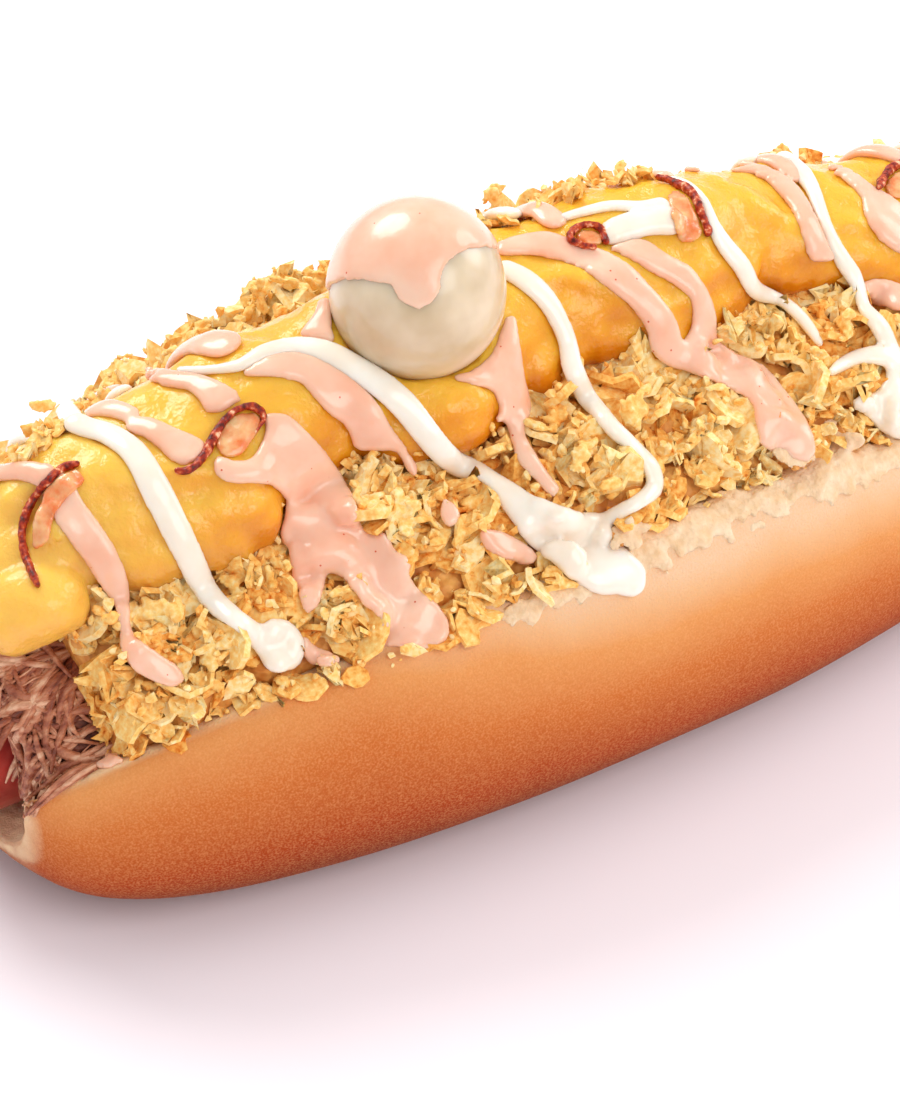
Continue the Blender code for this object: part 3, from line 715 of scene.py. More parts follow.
WHITE_FAR = {
    "far_left": ((-69, 10), (-72, 21), (-71, 30), (-66, 33), (-61, 27), (-58, 16), (-55, 8)),
    "far_middle": ((-6, 8), (-9, 18), (-9, 29), (-3, 33), (1, 26), (3, 14), (5, 6)),
    "far_right": ((46, 6), (44, 20), (46, 31), (54, 34), (62, 30), (68, 18), (72, 4), (74, -8),
        (76, -19), (72, -26)),
}
PINK_FAR = {
    "far_1": ((-72, -2), (-77, 8), (-79, 17), (-76, 25)),
    "far_2": ((-58, 0), (-62, 12), (-60, 24), (-53, 31), (-48, 24), (-46, 13), (-42, 3)),
    "far_3": ((-4, 2), (-7, 14), (-5, 27), (2, 32)),
    "far_4": ((9, 1), (8, 14), (13, 26), (20, 30)),
    "far_5": ((30, 4), (28, 18), (32, 30), (38, 32)),
    "far_6": ((50, 0), (47, 16), (51, 29), (58, 31)),
    "far_7": ((64, 8), (70, -4), (76, -13), (75, -20)),
}
FAR_WIDTH_WHITE, FAR_WIDTH_PINK = 3.6, 4.6


def dense(places, step):
    """Evenly spaced places along a smooth curve through the given ones."""
    rows = [np.asarray(p, float) for p in places]
    padded = [2 * rows[0] - rows[1], *rows, 2 * rows[-1] - rows[-2]]
    curve = []
    for i in range(1, len(padded) - 2):
        p0, p1, p2, p3 = padded[i - 1 : i + 3]
        count = max(2, int(np.linalg.norm((p2 - p1)[:2]) / step))
        for t in np.arange(count) / count:
            bend = (2 * p0 - 5 * p1 + 4 * p2 - p3) * t**2
            twist = (3 * p1 - p0 - 3 * p2 + p3) * t**3
            curve.append(0.5 * (2 * p1 + (p2 - p0) * t + bend + twist))
    return curve + [rows[-1]]


def is_inside(outline, across_px, down_px):
    """Whether a place in the picture is inside an outline, by the sides that lie right of it."""
    inside = False
    for (x0, y0), (x1, y1) in zip(outline, outline[1:] + outline[:1]):
        crosses = (y0 > down_px) != (y1 > down_px)
        if crosses and across_px < x0 + (down_px - y0) / (y1 - y0) * (x1 - x0):
            inside = not inside
    return inside


PIXELS_PER_MM = 7.3
FAR_REACH, RIBBON_MARGIN, NEAR_SIDE = 2.6, 0.7, 0.012
ribbon_spots = np.array([s for r in WHITE_RIBBONS.values() for s in dense(r, 4)])
sheets = (*WHITE_SHEETS.values(), *PINK_SHEETS.values())
far_spots = np.array([s for r in (*WHITE_FAR.values(), *PINK_FAR.values()) for s in dense(r, 0.6)])


def under_sauce(point):
    """Whether a point of the pile, in metres, has sauce over it."""
    far_reach = np.hypot(far_spots[:, 0] - point[0] / MM, far_spots[:, 1] - point[1] / MM)
    if np.min(far_reach) < FAR_REACH:
        return True
    across_px, down_px = in_picture(point)
    reach = np.hypot(ribbon_spots[:, 0] - across_px, ribbon_spots[:, 1] - down_px)
    if np.any(reach < (ribbon_spots[:, 2] / 2 + RIBBON_MARGIN) * PIXELS_PER_MM):
        return point[1] < NEAR_SIDE
    return any(is_inside(outline, across_px, down_px) for outline in sheets)


print("ribbons:", len(WHITE_RIBBONS) + len(WHITE_FAR) + len(PINK_FAR), "sheets:", len(sheets))

# %% [markdown]
# ## The crushed chips
#
# Potato chips were crushed over the beef: thin crumpled flakes, some rolled, small clusters and
# fine crumbs, with deep golden gaps between them. The melted solid is the bed. Eight flakes are
# modelled from a flat disc that is inset, divided round its middle, scattered, bent, crumpled
# and given its thickness. Nine-sided ones lie below, and thirteen-sided ones on top.

# %% Chip flakes
def modelled_flake(seed, sides, length, bend_degrees, crumple):
    """A crumpled flake, about one unit across."""
    bpy.ops.object.select_all(action="DESELECT")
    bpy.ops.mesh.primitive_circle_add(vertices=sides, radius=0.5, fill_type="NGON")
    chip = bpy.context.object
    bpy.ops.object.mode_set(mode="EDIT")
    bpy.ops.mesh.select_all(action="SELECT")
    bpy.ops.mesh.inset(thickness=0.17)
    bpy.ops.mesh.poke()
    bpy.ops.mesh.select_all(action="SELECT")
    bpy.ops.transform.resize(value=(1.0, length, 1.0))
    bpy.ops.transform.vertex_random(offset=0.13, seed=seed)
    bpy.ops.object.mode_set(mode="OBJECT")
    bend = math.radians(bend_degrees)
    finish_modifier(chip, "SIMPLE_DEFORM", deform_method="BEND", deform_axis="Y", angle=bend)
    roughened(chip, crumple, 1.8, seed * 3.7)
    finish_modifier(chip, "SOLIDIFY", thickness=0.12, offset=0.0)
    bpy.ops.object.origin_set(type="GEOMETRY_ORIGIN", center="MEDIAN")
    return shape_of(chip)


under_flakes = [
    modelled_flake(1, 9, 0.9, 25, 0.14),
    modelled_flake(2, 9, 0.7, 60, 0.12),
    modelled_flake(3, 9, 1.0, -40, 0.16),
    modelled_flake(4, 9, 0.45, 100, 0.12),
]
top_flakes = [
    modelled_flake(5, 13, 0.8, 10, 0.20),
    modelled_flake(6, 13, 0.5, 150, 0.12),
    modelled_flake(7, 13, 0.9, 65, 0.18),
    modelled_flake(8, 13, 0.4, 30, 0.14),
]


def modelled_crumb(seed, rounds, crumple):
    """A small lump from a ball, one unit across, that is flattened and scattered."""
    bpy.ops.object.select_all(action="DESELECT")
    bpy.ops.mesh.primitive_ico_sphere_add(subdivisions=rounds, radius=0.5)
    crumb_ball = bpy.context.object
    bpy.ops.object.mode_set(mode="EDIT")
    bpy.ops.transform.resize(value=(1.1, 0.85, 0.65))
    bpy.ops.transform.vertex_random(offset=crumple, seed=seed)
    bpy.ops.object.mode_set(mode="OBJECT")
    return shape_of(crumb_ball)


crumbs = [modelled_crumb(seed, 1, 0.22) for seed in (11, 12, 13)]
lumps = [modelled_crumb(seed, 2, 0.10) for seed in (21, 22)]
print("flake faces:", [len(outline) for _, outline in under_flakes + top_flakes])

# %% Chip bed
bed = copy_of_node("crushed_chips", "chip_bed")
melt(bed, 0.9, 10)
places = points_of(bed)
places[:, 2] -= (1.3 + 0.8 * cloud(places, 2.5, 8.0)) * MM
places[:, 1] *= 1.012
BARE_END, BARE_SIDE, PULLED_BACK = -0.073, 0.002, 0.3
bare_end = (places[:, 0] < BARE_END) & (places[:, 1] < BARE_SIDE)
places[bare_end, 0] = BARE_END + PULLED_BACK * (places[bare_end, 0] - BARE_END)
move_points(bed, places)
bed_tree = tree_of(bed)
ridge_tree = tree_of(ridge)
bun_tree = tree_of(bun)

# %% Strewing the chips
random.seed(4)
NEAR_END, FAR_END, RIGHT_END, MIDDLE_STRIP, LOWEST = -75, -81, 83, 6.0, 0.02
WIDEST_FLAKE, EDGE_START = 1.9, 0.75


def chips_edge(x_mm):
    """How far the chips reach across at a place along the bun, in mm."""
    right = min(1.0, max(0.0, (x_mm + 32.0) / 36.0))
    left_end = min(1.0, max(0.0, (-40.0 - x_mm) / 22.0))
    return bun_half_width(x_mm) * (0.87 - 0.09 * right - 0.08 * left_end)


def strewn(count, trees, low_mm, high_mm, size_mm, spread, shapes, tilt, clear_of_sauce, tones):
    """Stamps at random places on the pile, smaller near its edges, as flakes break when they fall."""
    stamps = []
    while len(stamps) < count:
        y_side = random.choice((-1, 1))
        x = random.uniform(NEAR_END if y_side < 0 else FAR_END, RIGHT_END)
        y = y_side * random.uniform(MIDDLE_STRIP, chips_edge(x) + 0.5)
        hit = below(trees, x, y)
        if hit is None or hit[0].z < LOWEST:
            continue
        place, normal = hit
        if clear_of_sauce and under_sauce(place):
            continue
        size = size_mm * math.exp(random.gauss(0.0, spread))
        at_edge = max(0.0, abs(y) / chips_edge(x) - EDGE_START) / (1 - EDGE_START)
        size = min(size, size_mm * WIDEST_FLAKE) * (1.0 - 0.3 * min(1.0, at_edge))
        up = (normal + Vector((0, 0, 0.6))).normalized()
        tipped = leaning(up, tilt)
        lifted = place + up * random.uniform(low_mm, high_mm) * MM
        turn = lie_flat(tipped, random.uniform(0, math.tau))
        tone = random.uniform(*tones)
        stamps.append((random.choice(shapes), turn, (size, size, size), lifted / MM, tone))
    return stamps


bread_and_bed = [bed_tree, bun_tree]
# The lower flakes take darker tones than those on top: painted shade of the deep layer, with some real
# oil.
lower = strewn(1350, bread_and_bed, 0.0, 1.0, 5.2, 0.28, under_flakes, 0.40, False, (0.0, 0.55))
upper = strewn(600, bread_and_bed, 1.0, 2.4, 6.2, 0.36, top_flakes, 0.50, True, (0.35, 1.0))


def crest_flakes(count, along, across, tilt, sizes, lift_mm, tones):
    """Flakes that lie high on the far side of the ridge."""
    flakes = []
    for _ in range(count):
        hit = below([ridge_tree], random.uniform(*along), random.uniform(*across))
        if hit is None:
            continue
        turn = lie_flat(leaning(hit[1], tilt), random.uniform(0, 6.28))
        size = random.uniform(*sizes)
        shape = random.choice(top_flakes)
        place = (hit[0] + hit[1] * lift_mm * MM) / MM
        flakes.append((shape, turn, (size,) * 3, place, random.uniform(*tones)))
    return flakes


crest = crest_flakes(55, (-5.0, 31.0), (3.5, 12.5), 0.4, (3.0, 5.5), 0.9, (0.3, 1.0))
crest += crest_flakes(30, (-80.0, -60.0), (3.0, 11.0), 0.3, (2.5, 4.5), 0.7, (0.5, 1.0))

# The two end faces of the heap carry flakes too.
END_FLAKES, END_STARTS = 150, 66
ends = []
while len(ends) < END_FLAKES:
    hit = beyond_end(bed_tree, random.choice((-1, 1)), 26, 27, 47)
    if hit is None or abs(hit[0].x) < END_STARTS * MM:
        continue
    turn = lie_flat(leaning(hit[1], 0.35), random.uniform(0, math.tau))
    size = random.uniform(3.0, 5.0)
    place = (hit[0] + hit[1] * random.uniform(0.0, 0.7) * MM) / MM
    ends.append((random.choice(under_flakes), turn, (size,) * 3, place, random.uniform(0.1, 0.8)))
chips = stamped("chip_flakes", lower + upper + crest + ends)
chips.data.set_sharp_from_angle(angle=math.radians(30))
strewn_on = [tree_of(chips), bed_tree, bun_tree]
grains = stamped("chip_crumbs", strewn(1000, strewn_on, 0.1, 0.5, 1.3, 0.4, crumbs, 0.8, True, (0.2, 1.0)))
grains.data.set_sharp_from_angle(angle=math.radians(25))

# %% Clusters of crumbs
CLUSTERS, CLUSTER_LUMPS = 250, 4
cluster_stamps = []
spots = strewn(CLUSTERS, strewn_on, 0.0, 0.7, 2.4, 0.3, lumps, 0.6, True, (0.0, 1.0))
for _, turn, (size, _, _), place, _ in spots:
    for _ in range(CLUSTER_LUMPS):
        beside = Vector([random.gauss(0.0, 0.45) * size for _ in range(3)])
        sizes = [size * random.uniform(*share) for share in ((0.6, 1.3), (0.5, 1.0), (0.3, 0.6))]
        cluster_stamps.append((random.choice(lumps), turn, sizes, Vector(place) + beside * 0.8, 0.0))
clusters = stamped("chip_clusters", cluster_stamps)
melt(clusters, 0.42, 1)
places = points_of(clusters)
push_out(clusters, 0.45 * cloud(places, 1.3, 2.0) + 0.3 * cloud(places, 0.6, 5.0))
tint(clusters, "tone", 0.55 + 0.5 * cloud(places, 7.0, 4.0))

# %% Chip finish
chip_look = Finish("crisp_potato", 0.6, Specular_IOR_Level=0.1)
# Each stamp's tone sets its colour, and the darker tones of the lower layer are painted shade.
shade = chip_look.sum(chip_look.noise(0.8, 4.0), chip_look.attribute("tone"), 0.42)
chip_look.colour(
    chip_look.ramp(
        shade,
        (0.32, (216, 112, 30)),
        (0.54, (246, 180, 88)),
        (0.76, (253, 212, 130)),
        (0.98, (255, 236, 180)),
    )
)
chip_look.bump(chip_look.sum(chip_look.noise(0.5, 4.0), chip_look.cells(0.8), 0.6), 0.13, 0.7)
# The bed shows in the gaps, so it is coloured a darker oily orange: real oil and painted shade of the
# gaps.
bed_look = Finish("oily_and_shaded_chip_bed", 0.5, Specular_IOR_Level=0.3)
bed_oil_and_shade_tones = (0.35, (204, 124, 52)), (0.7, (243, 182, 98))
bed_look.colour(bed_look.ramp(bed_look.noise(2.5, 4.0), *bed_oil_and_shade_tones))
bed_look.bump(bed_look.cells(1.4), 0.5, 0.9)
dress(bed, bed_look.material, "chips", "crushed_chips")
for piece in (chips, grains, clusters):
    dress(piece, chip_look.material, "chips", "crushed_chips")

# %% [markdown]
# ## The torn lips
#
# Where the roll was pulled open, its white crumb tore into small soft tufts. Little lumps are
# stamped along both lips, in a strip that widens from the left to the right as in the picture,
# and melted together. Modelled tufts catch the light as no painted edge would.

# %% Torn bread along the lips
TUFTS, TUFTS_START, TUFTS_END, STRIP_WIDENS = 1200, -24, 84, 36.0
TUFT_DROP, TUFT_SINK = 4.5, 0.05
torn_bits = []
while len(torn_bits) < TUFTS:
    x = random.uniform(TUFTS_START, TUFTS_END)
    width = min(1.0, max(0.0, (x - TUFTS_START) / STRIP_WIDENS))
    side = random.choice((-1, 1))
    y = side * bun_half_width(x) * random.gauss(0.87 - 0.05 * width, 0.006 + 0.032 * width)
    hit = below([bun_tree, bed_tree], x, y)
    if hit is None or hit[0].z / MM < lip_height(x) - TUFT_DROP:
        continue
    size = (1.3 + width) * math.exp(random.gauss(0.0, 0.3))
    turn = lie_flat(hit[1], random.uniform(0, math.tau))
    place = hit[0] / MM - hit[1] * TUFT_SINK * size
    torn_bits.append((random.choice(lumps), turn, (size * 1.4, size, size * 0.6), place, 0.0))

torn_bread = stamped("torn_bread", torn_bits)
melt(torn_bread, 0.45, 2)
places = points_of(torn_bread)
push_out(torn_bread, 0.35 * cloud(places, 1.5, 2.0) + 0.2 * cloud(places, 0.7, 5.0))
bread = Finish("soft_crumb", 0.8, Specular_IOR_Level=0.2)
bread.colour(bread.two_tone(bread.noise(2.0, 3.0), (236, 198, 154), (246, 218, 184)))
bread.bump(bread.sum(bread.noise(0.7, 4.0), bread.cells(0.9), 0.6), 0.3, 1.0)
bread.under_skin(0.2, 1.0, (1.0, 0.7, 0.5))
dress(torn_bread, bread.material, "bun", "bun")

# %% [markdown]
# ## The shredded beef
#
# Slow-cooked beef pulls apart into bundles of fibres. The melted solid is the heap, and hundreds
# of thin fibres creep over it where it shows, at the two ends. A few more follow the shreds that
# the picture shows over the near wall. Each fibre bends with what it lies on, so it is swept
# point by point as a tapered tube and not stamped.

# %% Beef heap
heap = copy_of_node("shredded_beef", "beef_heap")
melt(heap, 0.9, 4)
places = points_of(heap)
grooves = cloud(places * np.array([0.35, 1.0, 1.0]), 1.5, 6.0)
push_out(heap, 0.6 * grooves - 0.5)
heap_tree = tree_of(heap)

# %% Beef fibres
FIBRE_SIDES, FIBRE_STEPS, BOX_MARGIN = 5, 9, 0.1
FIBRE_RADII = (0.22, 0.42, 0.65, 0.95)
BOX_LOW, BOX_HIGH = (np.array(corner) / MM for corner in solid_box)
random.seed(8)


def fibre(path, radius):
    """The rings of a thin tapered tube along a path, in mm."""
    rings = []
    for i, point in enumerate(path):
        ahead = path[min(i + 1, len(path) - 1)] - path[max(i - 1, 0)]
        ahead = ahead / (np.linalg.norm(ahead) + 1e-9)
        side = np.cross(ahead, (0.0, 0.31, 0.95))
        side = side / (np.linalg.norm(side) + 1e-9)
        up = np.cross(side, ahead)
        taper = radius * min(1.0, 0.4 + 2.0 * min(i, len(path) - 1 - i) / (len(path) - 1))
        ring = [point + taper * (math.cos(a) * side + 0.8 * math.sin(a) * up)
                for a in np.arange(FIBRE_SIDES) * math.tau / FIBRE_SIDES]
        rings.append(np.clip(ring, BOX_LOW + BOX_MARGIN, BOX_HIGH - BOX_MARGIN))
    return rings


def smoothed_path(path):
    """A path whose inner points move towards their neighbours."""
    inner = [(a + 2 * b + c) / 4 for a, b, c in zip(path, path[1:], path[2:])]
    return [path[0]] + inner + [path[-1]]


def laid_path(start, heading, length, lift_mm):
    """A path that creeps over the heap, turning a little as it goes."""
    path = []
    place, ahead = Vector(start), Vector(heading)
    wander, phase = random.gauss(0.0, 0.18), random.uniform(0, math.tau)
    for i in range(FIBRE_STEPS):
        nearest, normal, _, _ = heap_tree.find_nearest(place * MM)
        place = nearest / MM
        ahead = (ahead - normal * ahead.dot(normal)).normalized()
        ahead = Matrix.Rotation(wander + 0.28 * math.sin(phase + 1.3 * i), 3, normal) @ ahead
        path.append(np.array(place + normal * lift_mm))
        place = place + ahead * length / FIBRE_STEPS
    return smoothed_path(path)


def beef_bundle(start, heading, length, count, lift_mm):
    """Fibres that lie side by side, as one shred of beef."""
    made, tone = [], random.random()
    for _ in range(count):
        beside = Vector([random.gauss(0.0, 0.8) for _ in range(3)])
        turned = Vector(heading) + Vector([random.gauss(0.0, 0.06) for _ in range(3)])
        reach = length * random.uniform(0.7, 1.1)
        path = laid_path(start + beside, turned, reach, lift_mm + random.uniform(0.0, 0.9))
        made.append((fibre(path, random.choice(FIBRE_RADII)), 0.7 * tone + 0.3 * random.random()))
    return made


TOP_BUNDLES, END_BUNDLES = 95, 50
BEEF_SHOWS, BEEF_TIP, BEEF_HALF_WIDTH, BEEF_END = 66, 94, 25, 60
bundles = []
for side in (-1, 1):
    for _ in range(TOP_BUNDLES):
        x = side * random.uniform(BEEF_SHOWS, BEEF_TIP)
        hit = below([heap_tree], x, random.uniform(-BEEF_HALF_WIDTH, BEEF_HALF_WIDTH))
        if hit is None:
            continue
        heading = Vector((side, random.gauss(0.0, 0.4), random.gauss(-0.2, 0.3)))
        length, count = random.uniform(14, 26), random.randint(4, 7)
        bundles += beef_bundle(hit[0] / MM, heading, length, count, random.uniform(0.0, 1.2))
    for _ in range(END_BUNDLES):
        hit = beyond_end(heap_tree, side, 24, 22, 40)
        if hit is None or abs(hit[0].x) < BEEF_END * MM:
            continue
        heading = Vector((0.4 * side, random.gauss(0.0, 0.7), -0.8))
        length, count = random.uniform(7, 15), random.randint(3, 6)
        bundles += beef_bundle(hit[0] / MM, heading, length, count, random.uniform(0.0, 0.8))

# Shreds that lie over the near wall's end or hang over the sausage, as places in the picture.
SHREDS = (
    ((126, 748), (104, 764), (84, 776), (64, 788), (46, 800), (33, 811)),
    ((112, 748), (90, 756), (68, 765), (50, 776), (36, 788), (29, 802)),
    ((60, 752), (50, 768), (42, 782), (38, 798), (34, 814)),
    ((38, 736), (29, 750), (21, 764), (15, 778)),
)
SHRED_FIBRES, DRIFT_PX, SHRED_STEP_PX = 6, 4.0, 12
shred_trees = [heap_tree, bun_tree, tree_of(sausage)]
for places in SHREDS:
    for _ in range(SHRED_FIBRES):
        aside, down = random.gauss(0.0, DRIFT_PX), random.gauss(0.0, DRIFT_PX)
        hits = [seen_at(shred_trees, a + aside, d + down) for a, d in dense(places, SHRED_STEP_PX)]
        lift_mm = random.uniform(0.4, 1.5)
        path = [np.array(h[0] / MM + h[1] * lift_mm) for h in hits if h]
        if len(path) > 3:
            rings = fibre(smoothed_path(smoothed_path(path)), random.uniform(0.4, 0.75))
            bundles.append((rings, random.uniform(0.3, 1.0)))
points, faces, tones = [], [], []
for rings, tone in bundles:
    start = len(points)
    for ring in rings:
        points.extend(ring)
    for i in range(len(rings) - 1):
        for k in range(FIBRE_SIDES):
            a, b = start + i * FIBRE_SIDES + k, start + i * FIBRE_SIDES + (k + 1) % FIBRE_SIDES
            faces.append((a, b, b + FIBRE_SIDES, a + FIBRE_SIDES))
    faces.append(tuple(range(start + FIBRE_SIDES - 1, start - 1, -1)))
    faces.append(tuple(range(len(points) - FIBRE_SIDES, len(points))))
    tones.extend([tone] * (len(points) - start))
fibres = mesh_piece("beef_fibres", points, faces, tones)
select_only(fibres)
bpy.ops.object.mode_set(mode="EDIT")
bpy.ops.mesh.select_all(action="SELECT")
bpy.ops.mesh.normals_make_consistent(inside=False)
bpy.ops.object.mode_set(mode="OBJECT")
print("fibres:", len(bundles))

# %% Beef finish
beef_look = Finish("braised_beef", 0.36, Specular_IOR_Level=0.4)
beef_shade = beef_look.sum(beef_look.noise(1.4, 4.0, (4.0, 1.0, 1.0)), beef_look.attribute("tone"), 0.5)
beef_look.colour(
    beef_look.ramp(
        beef_shade,
        (0.44, (88, 36, 24)),
        (0.63, (154, 82, 58)),
        (0.82, (200, 130, 96)),
        (1.00, (240, 194, 160)),
    )
)
beef_look.bump(beef_look.noise(0.4, 4.0, (3.0, 1.0, 1.0)), 0.3, 1.0)
dress(heap, beef_look.material, "beef", "shredded_beef")
dress(fibres, beef_look.material, "beef", "shredded_beef")

# %% [markdown]
# ## The quail egg
#
# A peeled quail egg stands on the sauce, firm and slightly see-through, and pink sauce covers
# its top. It is modelled from a fine ball that is drawn out a little and is narrower above.

# %% Quail egg
EGG_CENTRE = Vector((-17.0, -5.5, 71.6))
EGG_RADIUS, EGG_TALL, EGG_TAPER = 11.9, 12.3, 0.03
bpy.ops.object.select_all(action="DESELECT")
bpy.ops.mesh.primitive_ico_sphere_add(subdivisions=5, radius=EGG_RADIUS * MM, location=EGG_CENTRE * MM)
egg = bpy.context.object
egg.name = "peeled_egg"
bpy.ops.object.transform_apply(location=True)
offsets = points_of(egg) / MM - np.array(EGG_CENTRE)
share = offsets[:, 2] / EGG_RADIUS
offsets[:, 2] *= EGG_TALL / EGG_RADIUS
offsets[:, :2] *= (1.0 - EGG_TAPER * share)[:, None]
move_points(egg, (offsets + np.array(EGG_CENTRE)) * MM)
egg_look = Finish("egg_white", 0.22, Coat_Weight=0.3, Coat_Roughness=0.12)
egg_look.colour(egg_look.two_tone(egg_look.noise(9.0, 3.0), (204, 180, 144), (226, 208, 180)))
egg_look.bump(egg_look.noise(1.6, 3.0), 0.08, 0.4)
egg_look.under_skin(0.8, 4.0, (1.0, 0.75, 0.5))
dress(egg, egg_look.material, "egg", "quail_egg")
egg_tree = tree_of(egg)

# %% [markdown]
# ## The two sauces
#
# A sauce has surface tension, so its ribbons are rounded and run together where they touch. A
# flattened drop is stamped closely along each path, in the width of the ribbon and lying on the
# pile. A fine remesh melts the drops into one skin, which is then smoothed.

# %% A soft pile for the sauce to lie on
select_only(*[linked("soft_part", source.data.copy()) for source in (ridge, chips, bed, grains, clusters)])
bpy.ops.object.join()
pile = bpy.context.object
melt(pile, 0.9, 12)
pile_tree = tree_of(pile)
print("pile faces:", len(pile.data.polygons))
bpy.data.objects.remove(pile)
carriers = [pile_tree, bun_tree, heap_tree]

# %% Drops
drop = ball_shape(2)
BEAD_STEP, WIDEST_GAP = 0.5, 7.0
PICTURE_STEP_PX, FAR_STEP = 2.2, 0.45


def evened(rows, reach):
    """A running mean along a path."""
    rows = np.asarray(rows, float)
    padded = np.concatenate([np.repeat(rows[:1], reach, 0), rows, np.repeat(rows[-1:], reach, 0)])
    return np.array([padded[i : i + 2 * reach + 1].mean(axis=0) for i in range(len(rows))])


def closed_gaps(rows):
    """Adds rows between those that lie apart, where the ribbon runs steeply away from the eye."""
    closed = [rows[0]]
    for before, after in zip(rows, rows[1:]):
        gap = np.linalg.norm(after[:3] - before[:3])
        if BEAD_STEP < gap < WIDEST_GAP:
            steps = int(gap / BEAD_STEP) + 1
            closed.extend(before + (after - before) * i / steps for i in range(1, steps))
        closed.append(after)
    return closed


def ribbon_drops(hits, widths, thickness, sink):
    """Drops along a ribbon, from the places and normals that it lies on."""
    places = evened([h[0] / MM for h in hits], 3)
    normals = evened([h[1] for h in hits], 6)
    drops = []
    for row in closed_gaps(list(np.column_stack([places, normals, widths]))):
        place, normal, width = row[:3], row[3:6], row[6]
        up = Vector(normal).normalized()
        thick = thickness * min(1.6, 0.55 + 0.12 * width)
        centre = Vector(place) + up * (thick * (0.5 - sink))
        drops.append((drop, lie_flat(up, 0.0), (width, width, thick), centre, 0.0))
    return drops


def picture_ribbon(places, thickness, sink, trees):
    """Drops along a path in the picture, whose entries also give the width."""
    curve = dense(places, PICTURE_STEP_PX)
    found = [(seen_at(trees, a, d), w) for a, d, w in curve]
    found = [(hit, w) for hit, w in found if hit]
    return ribbon_drops([h for h, _ in found], [w for _, w in found], thickness, sink)


def far_ribbon(places, width, thickness, sink):
    """Drops along a path laid out from above, with a wavy width and a fuller end."""
    hits = [below(carriers, x, y) for x, y in dense(places, FAR_STEP)]
    hits = [h for h in hits if h]
    waves = [width * (0.9 + 0.25 * math.sin(0.11 * i + places[0][0])) for i in range(len(hits))]
    waves[-6:] = [width * 1.3] * len(waves[-6:])
    return ribbon_drops(hits, waves, thickness, sink)


WIDEST_DROP, LEAST_ROOM = 3.2, 0.3


def picture_sheet(outline, thickness, sink, trees, step_px=5.0):
    """Drops all over an outline in the picture, kept a drop's half width inside its edge."""
    low = np.min(outline, axis=0)
    high = np.max(outline, axis=0)
    drops = []
    edge = np.array(dense(outline + outline[:1], 3))
    for down_px in np.arange(low[1], high[1], step_px):
        for across_px in np.arange(low[0], high[0], step_px):
            if not is_inside(outline, across_px, down_px):
                continue
            room = np.min(np.hypot(edge[:, 0] - across_px, edge[:, 1] - down_px)) / PIXELS_PER_MM
            hit = seen_at(trees, across_px, down_px)
            if hit is None or room < LEAST_ROOM:
                continue
            width = min(WIDEST_DROP, 2 * room + 0.2)
            up = (hit[1] + Vector((0, 0, 0.4))).normalized()
            thick = min(thickness, 0.5 + 0.55 * width)
            centre = hit[0] / MM + up * (thick * (0.5 - sink))
            drops.append((drop, lie_flat(up, 0.0), (width, width, thick), centre, 0.0))
    return drops


def melted_sauce(name, drops, voxel_mm, passes):
    """Drops that have run together into one skin."""
    sauce = stamped(name, drops)
    melt(sauce, voxel_mm, passes)
    return sauce


# %% Pink sauce
pink_drops = []
for outline in PINK_SHEETS.values():
    pink_drops += picture_sheet(outline, 1.5, 0.2, carriers)
for places in PINK_FAR.values():
    pink_drops += far_ribbon(places, FAR_WIDTH_PINK, 1.7, 0.25)
pink = melted_sauce("pink_sauce", pink_drops, 0.38, 5)

# %% White sauce
white_drops = []
for places in WHITE_RIBBONS.values():
    white_drops += picture_ribbon(places, 1.8, 0.15, carriers)
for outline in WHITE_SHEETS.values():
    white_drops += picture_sheet(outline, 2.0, 0.15, carriers)
for places in WHITE_FAR.values():
    white_drops += far_ribbon(places, FAR_WIDTH_WHITE, 1.8, 0.15)
white = melted_sauce("white_sauce", white_drops, 0.36, 4)

# %% Pink cap on the egg
CAP_EDGE = ((318, 300), (326, 289), (334, 281), (346, 277), (362, 276), (378, 278), (391, 281),
    (397, 287), (401, 295), (408, 302), (417, 305), (427, 302), (434, 295), (437, 284), (438, 270),
    (444, 259), (454, 251), (466, 246), (480, 244), (491, 245), (504, 249), (520, 200), (450, 160),
    (380, 160), (310, 200))
# Drops are spread evenly over the upper half of the egg, each a golden angle past the last one.
# The outline decides which are covered where the camera sees them, and a wavy line elsewhere.
CAP_ANGLE, CAP_WAVE, CAP_LOBES = math.radians(72), 0.12, 5
CAP_SPOTS, GOLDEN_ANGLE = 3200, 2.399963
CAP_DROP, CAP_LIFT, SEEN_FROM = (1.7, 1.7, 1.0), 0.06, 0.05
cap_drops = []
for i in range(CAP_SPOTS):
    height = 1 - (i + 0.5) / CAP_SPOTS
    turn = i * GOLDEN_ANGLE
    flat = math.sqrt(1 - height**2)
    outward = Vector((flat * math.cos(turn), flat * math.sin(turn), height))
    hit = first_hit([egg_tree], (EGG_CENTRE + outward * 40) * MM, -outward)
    across_px, down_px = in_picture(hit[0])
    if hit[1].dot((eye - hit[0]).normalized()) > SEEN_FROM:
        covered = is_inside(CAP_EDGE, across_px, down_px)
    else:
        covered = math.acos(height) < CAP_ANGLE + CAP_WAVE * math.sin(CAP_LOBES * turn)
    if covered:
        cap_drops.append((drop, lie_flat(hit[1], 0.0), CAP_DROP, hit[0] / MM + hit[1] * CAP_LIFT, 0.0))
cap = melted_sauce("egg_sauce_cap", cap_drops, 0.3, 12)

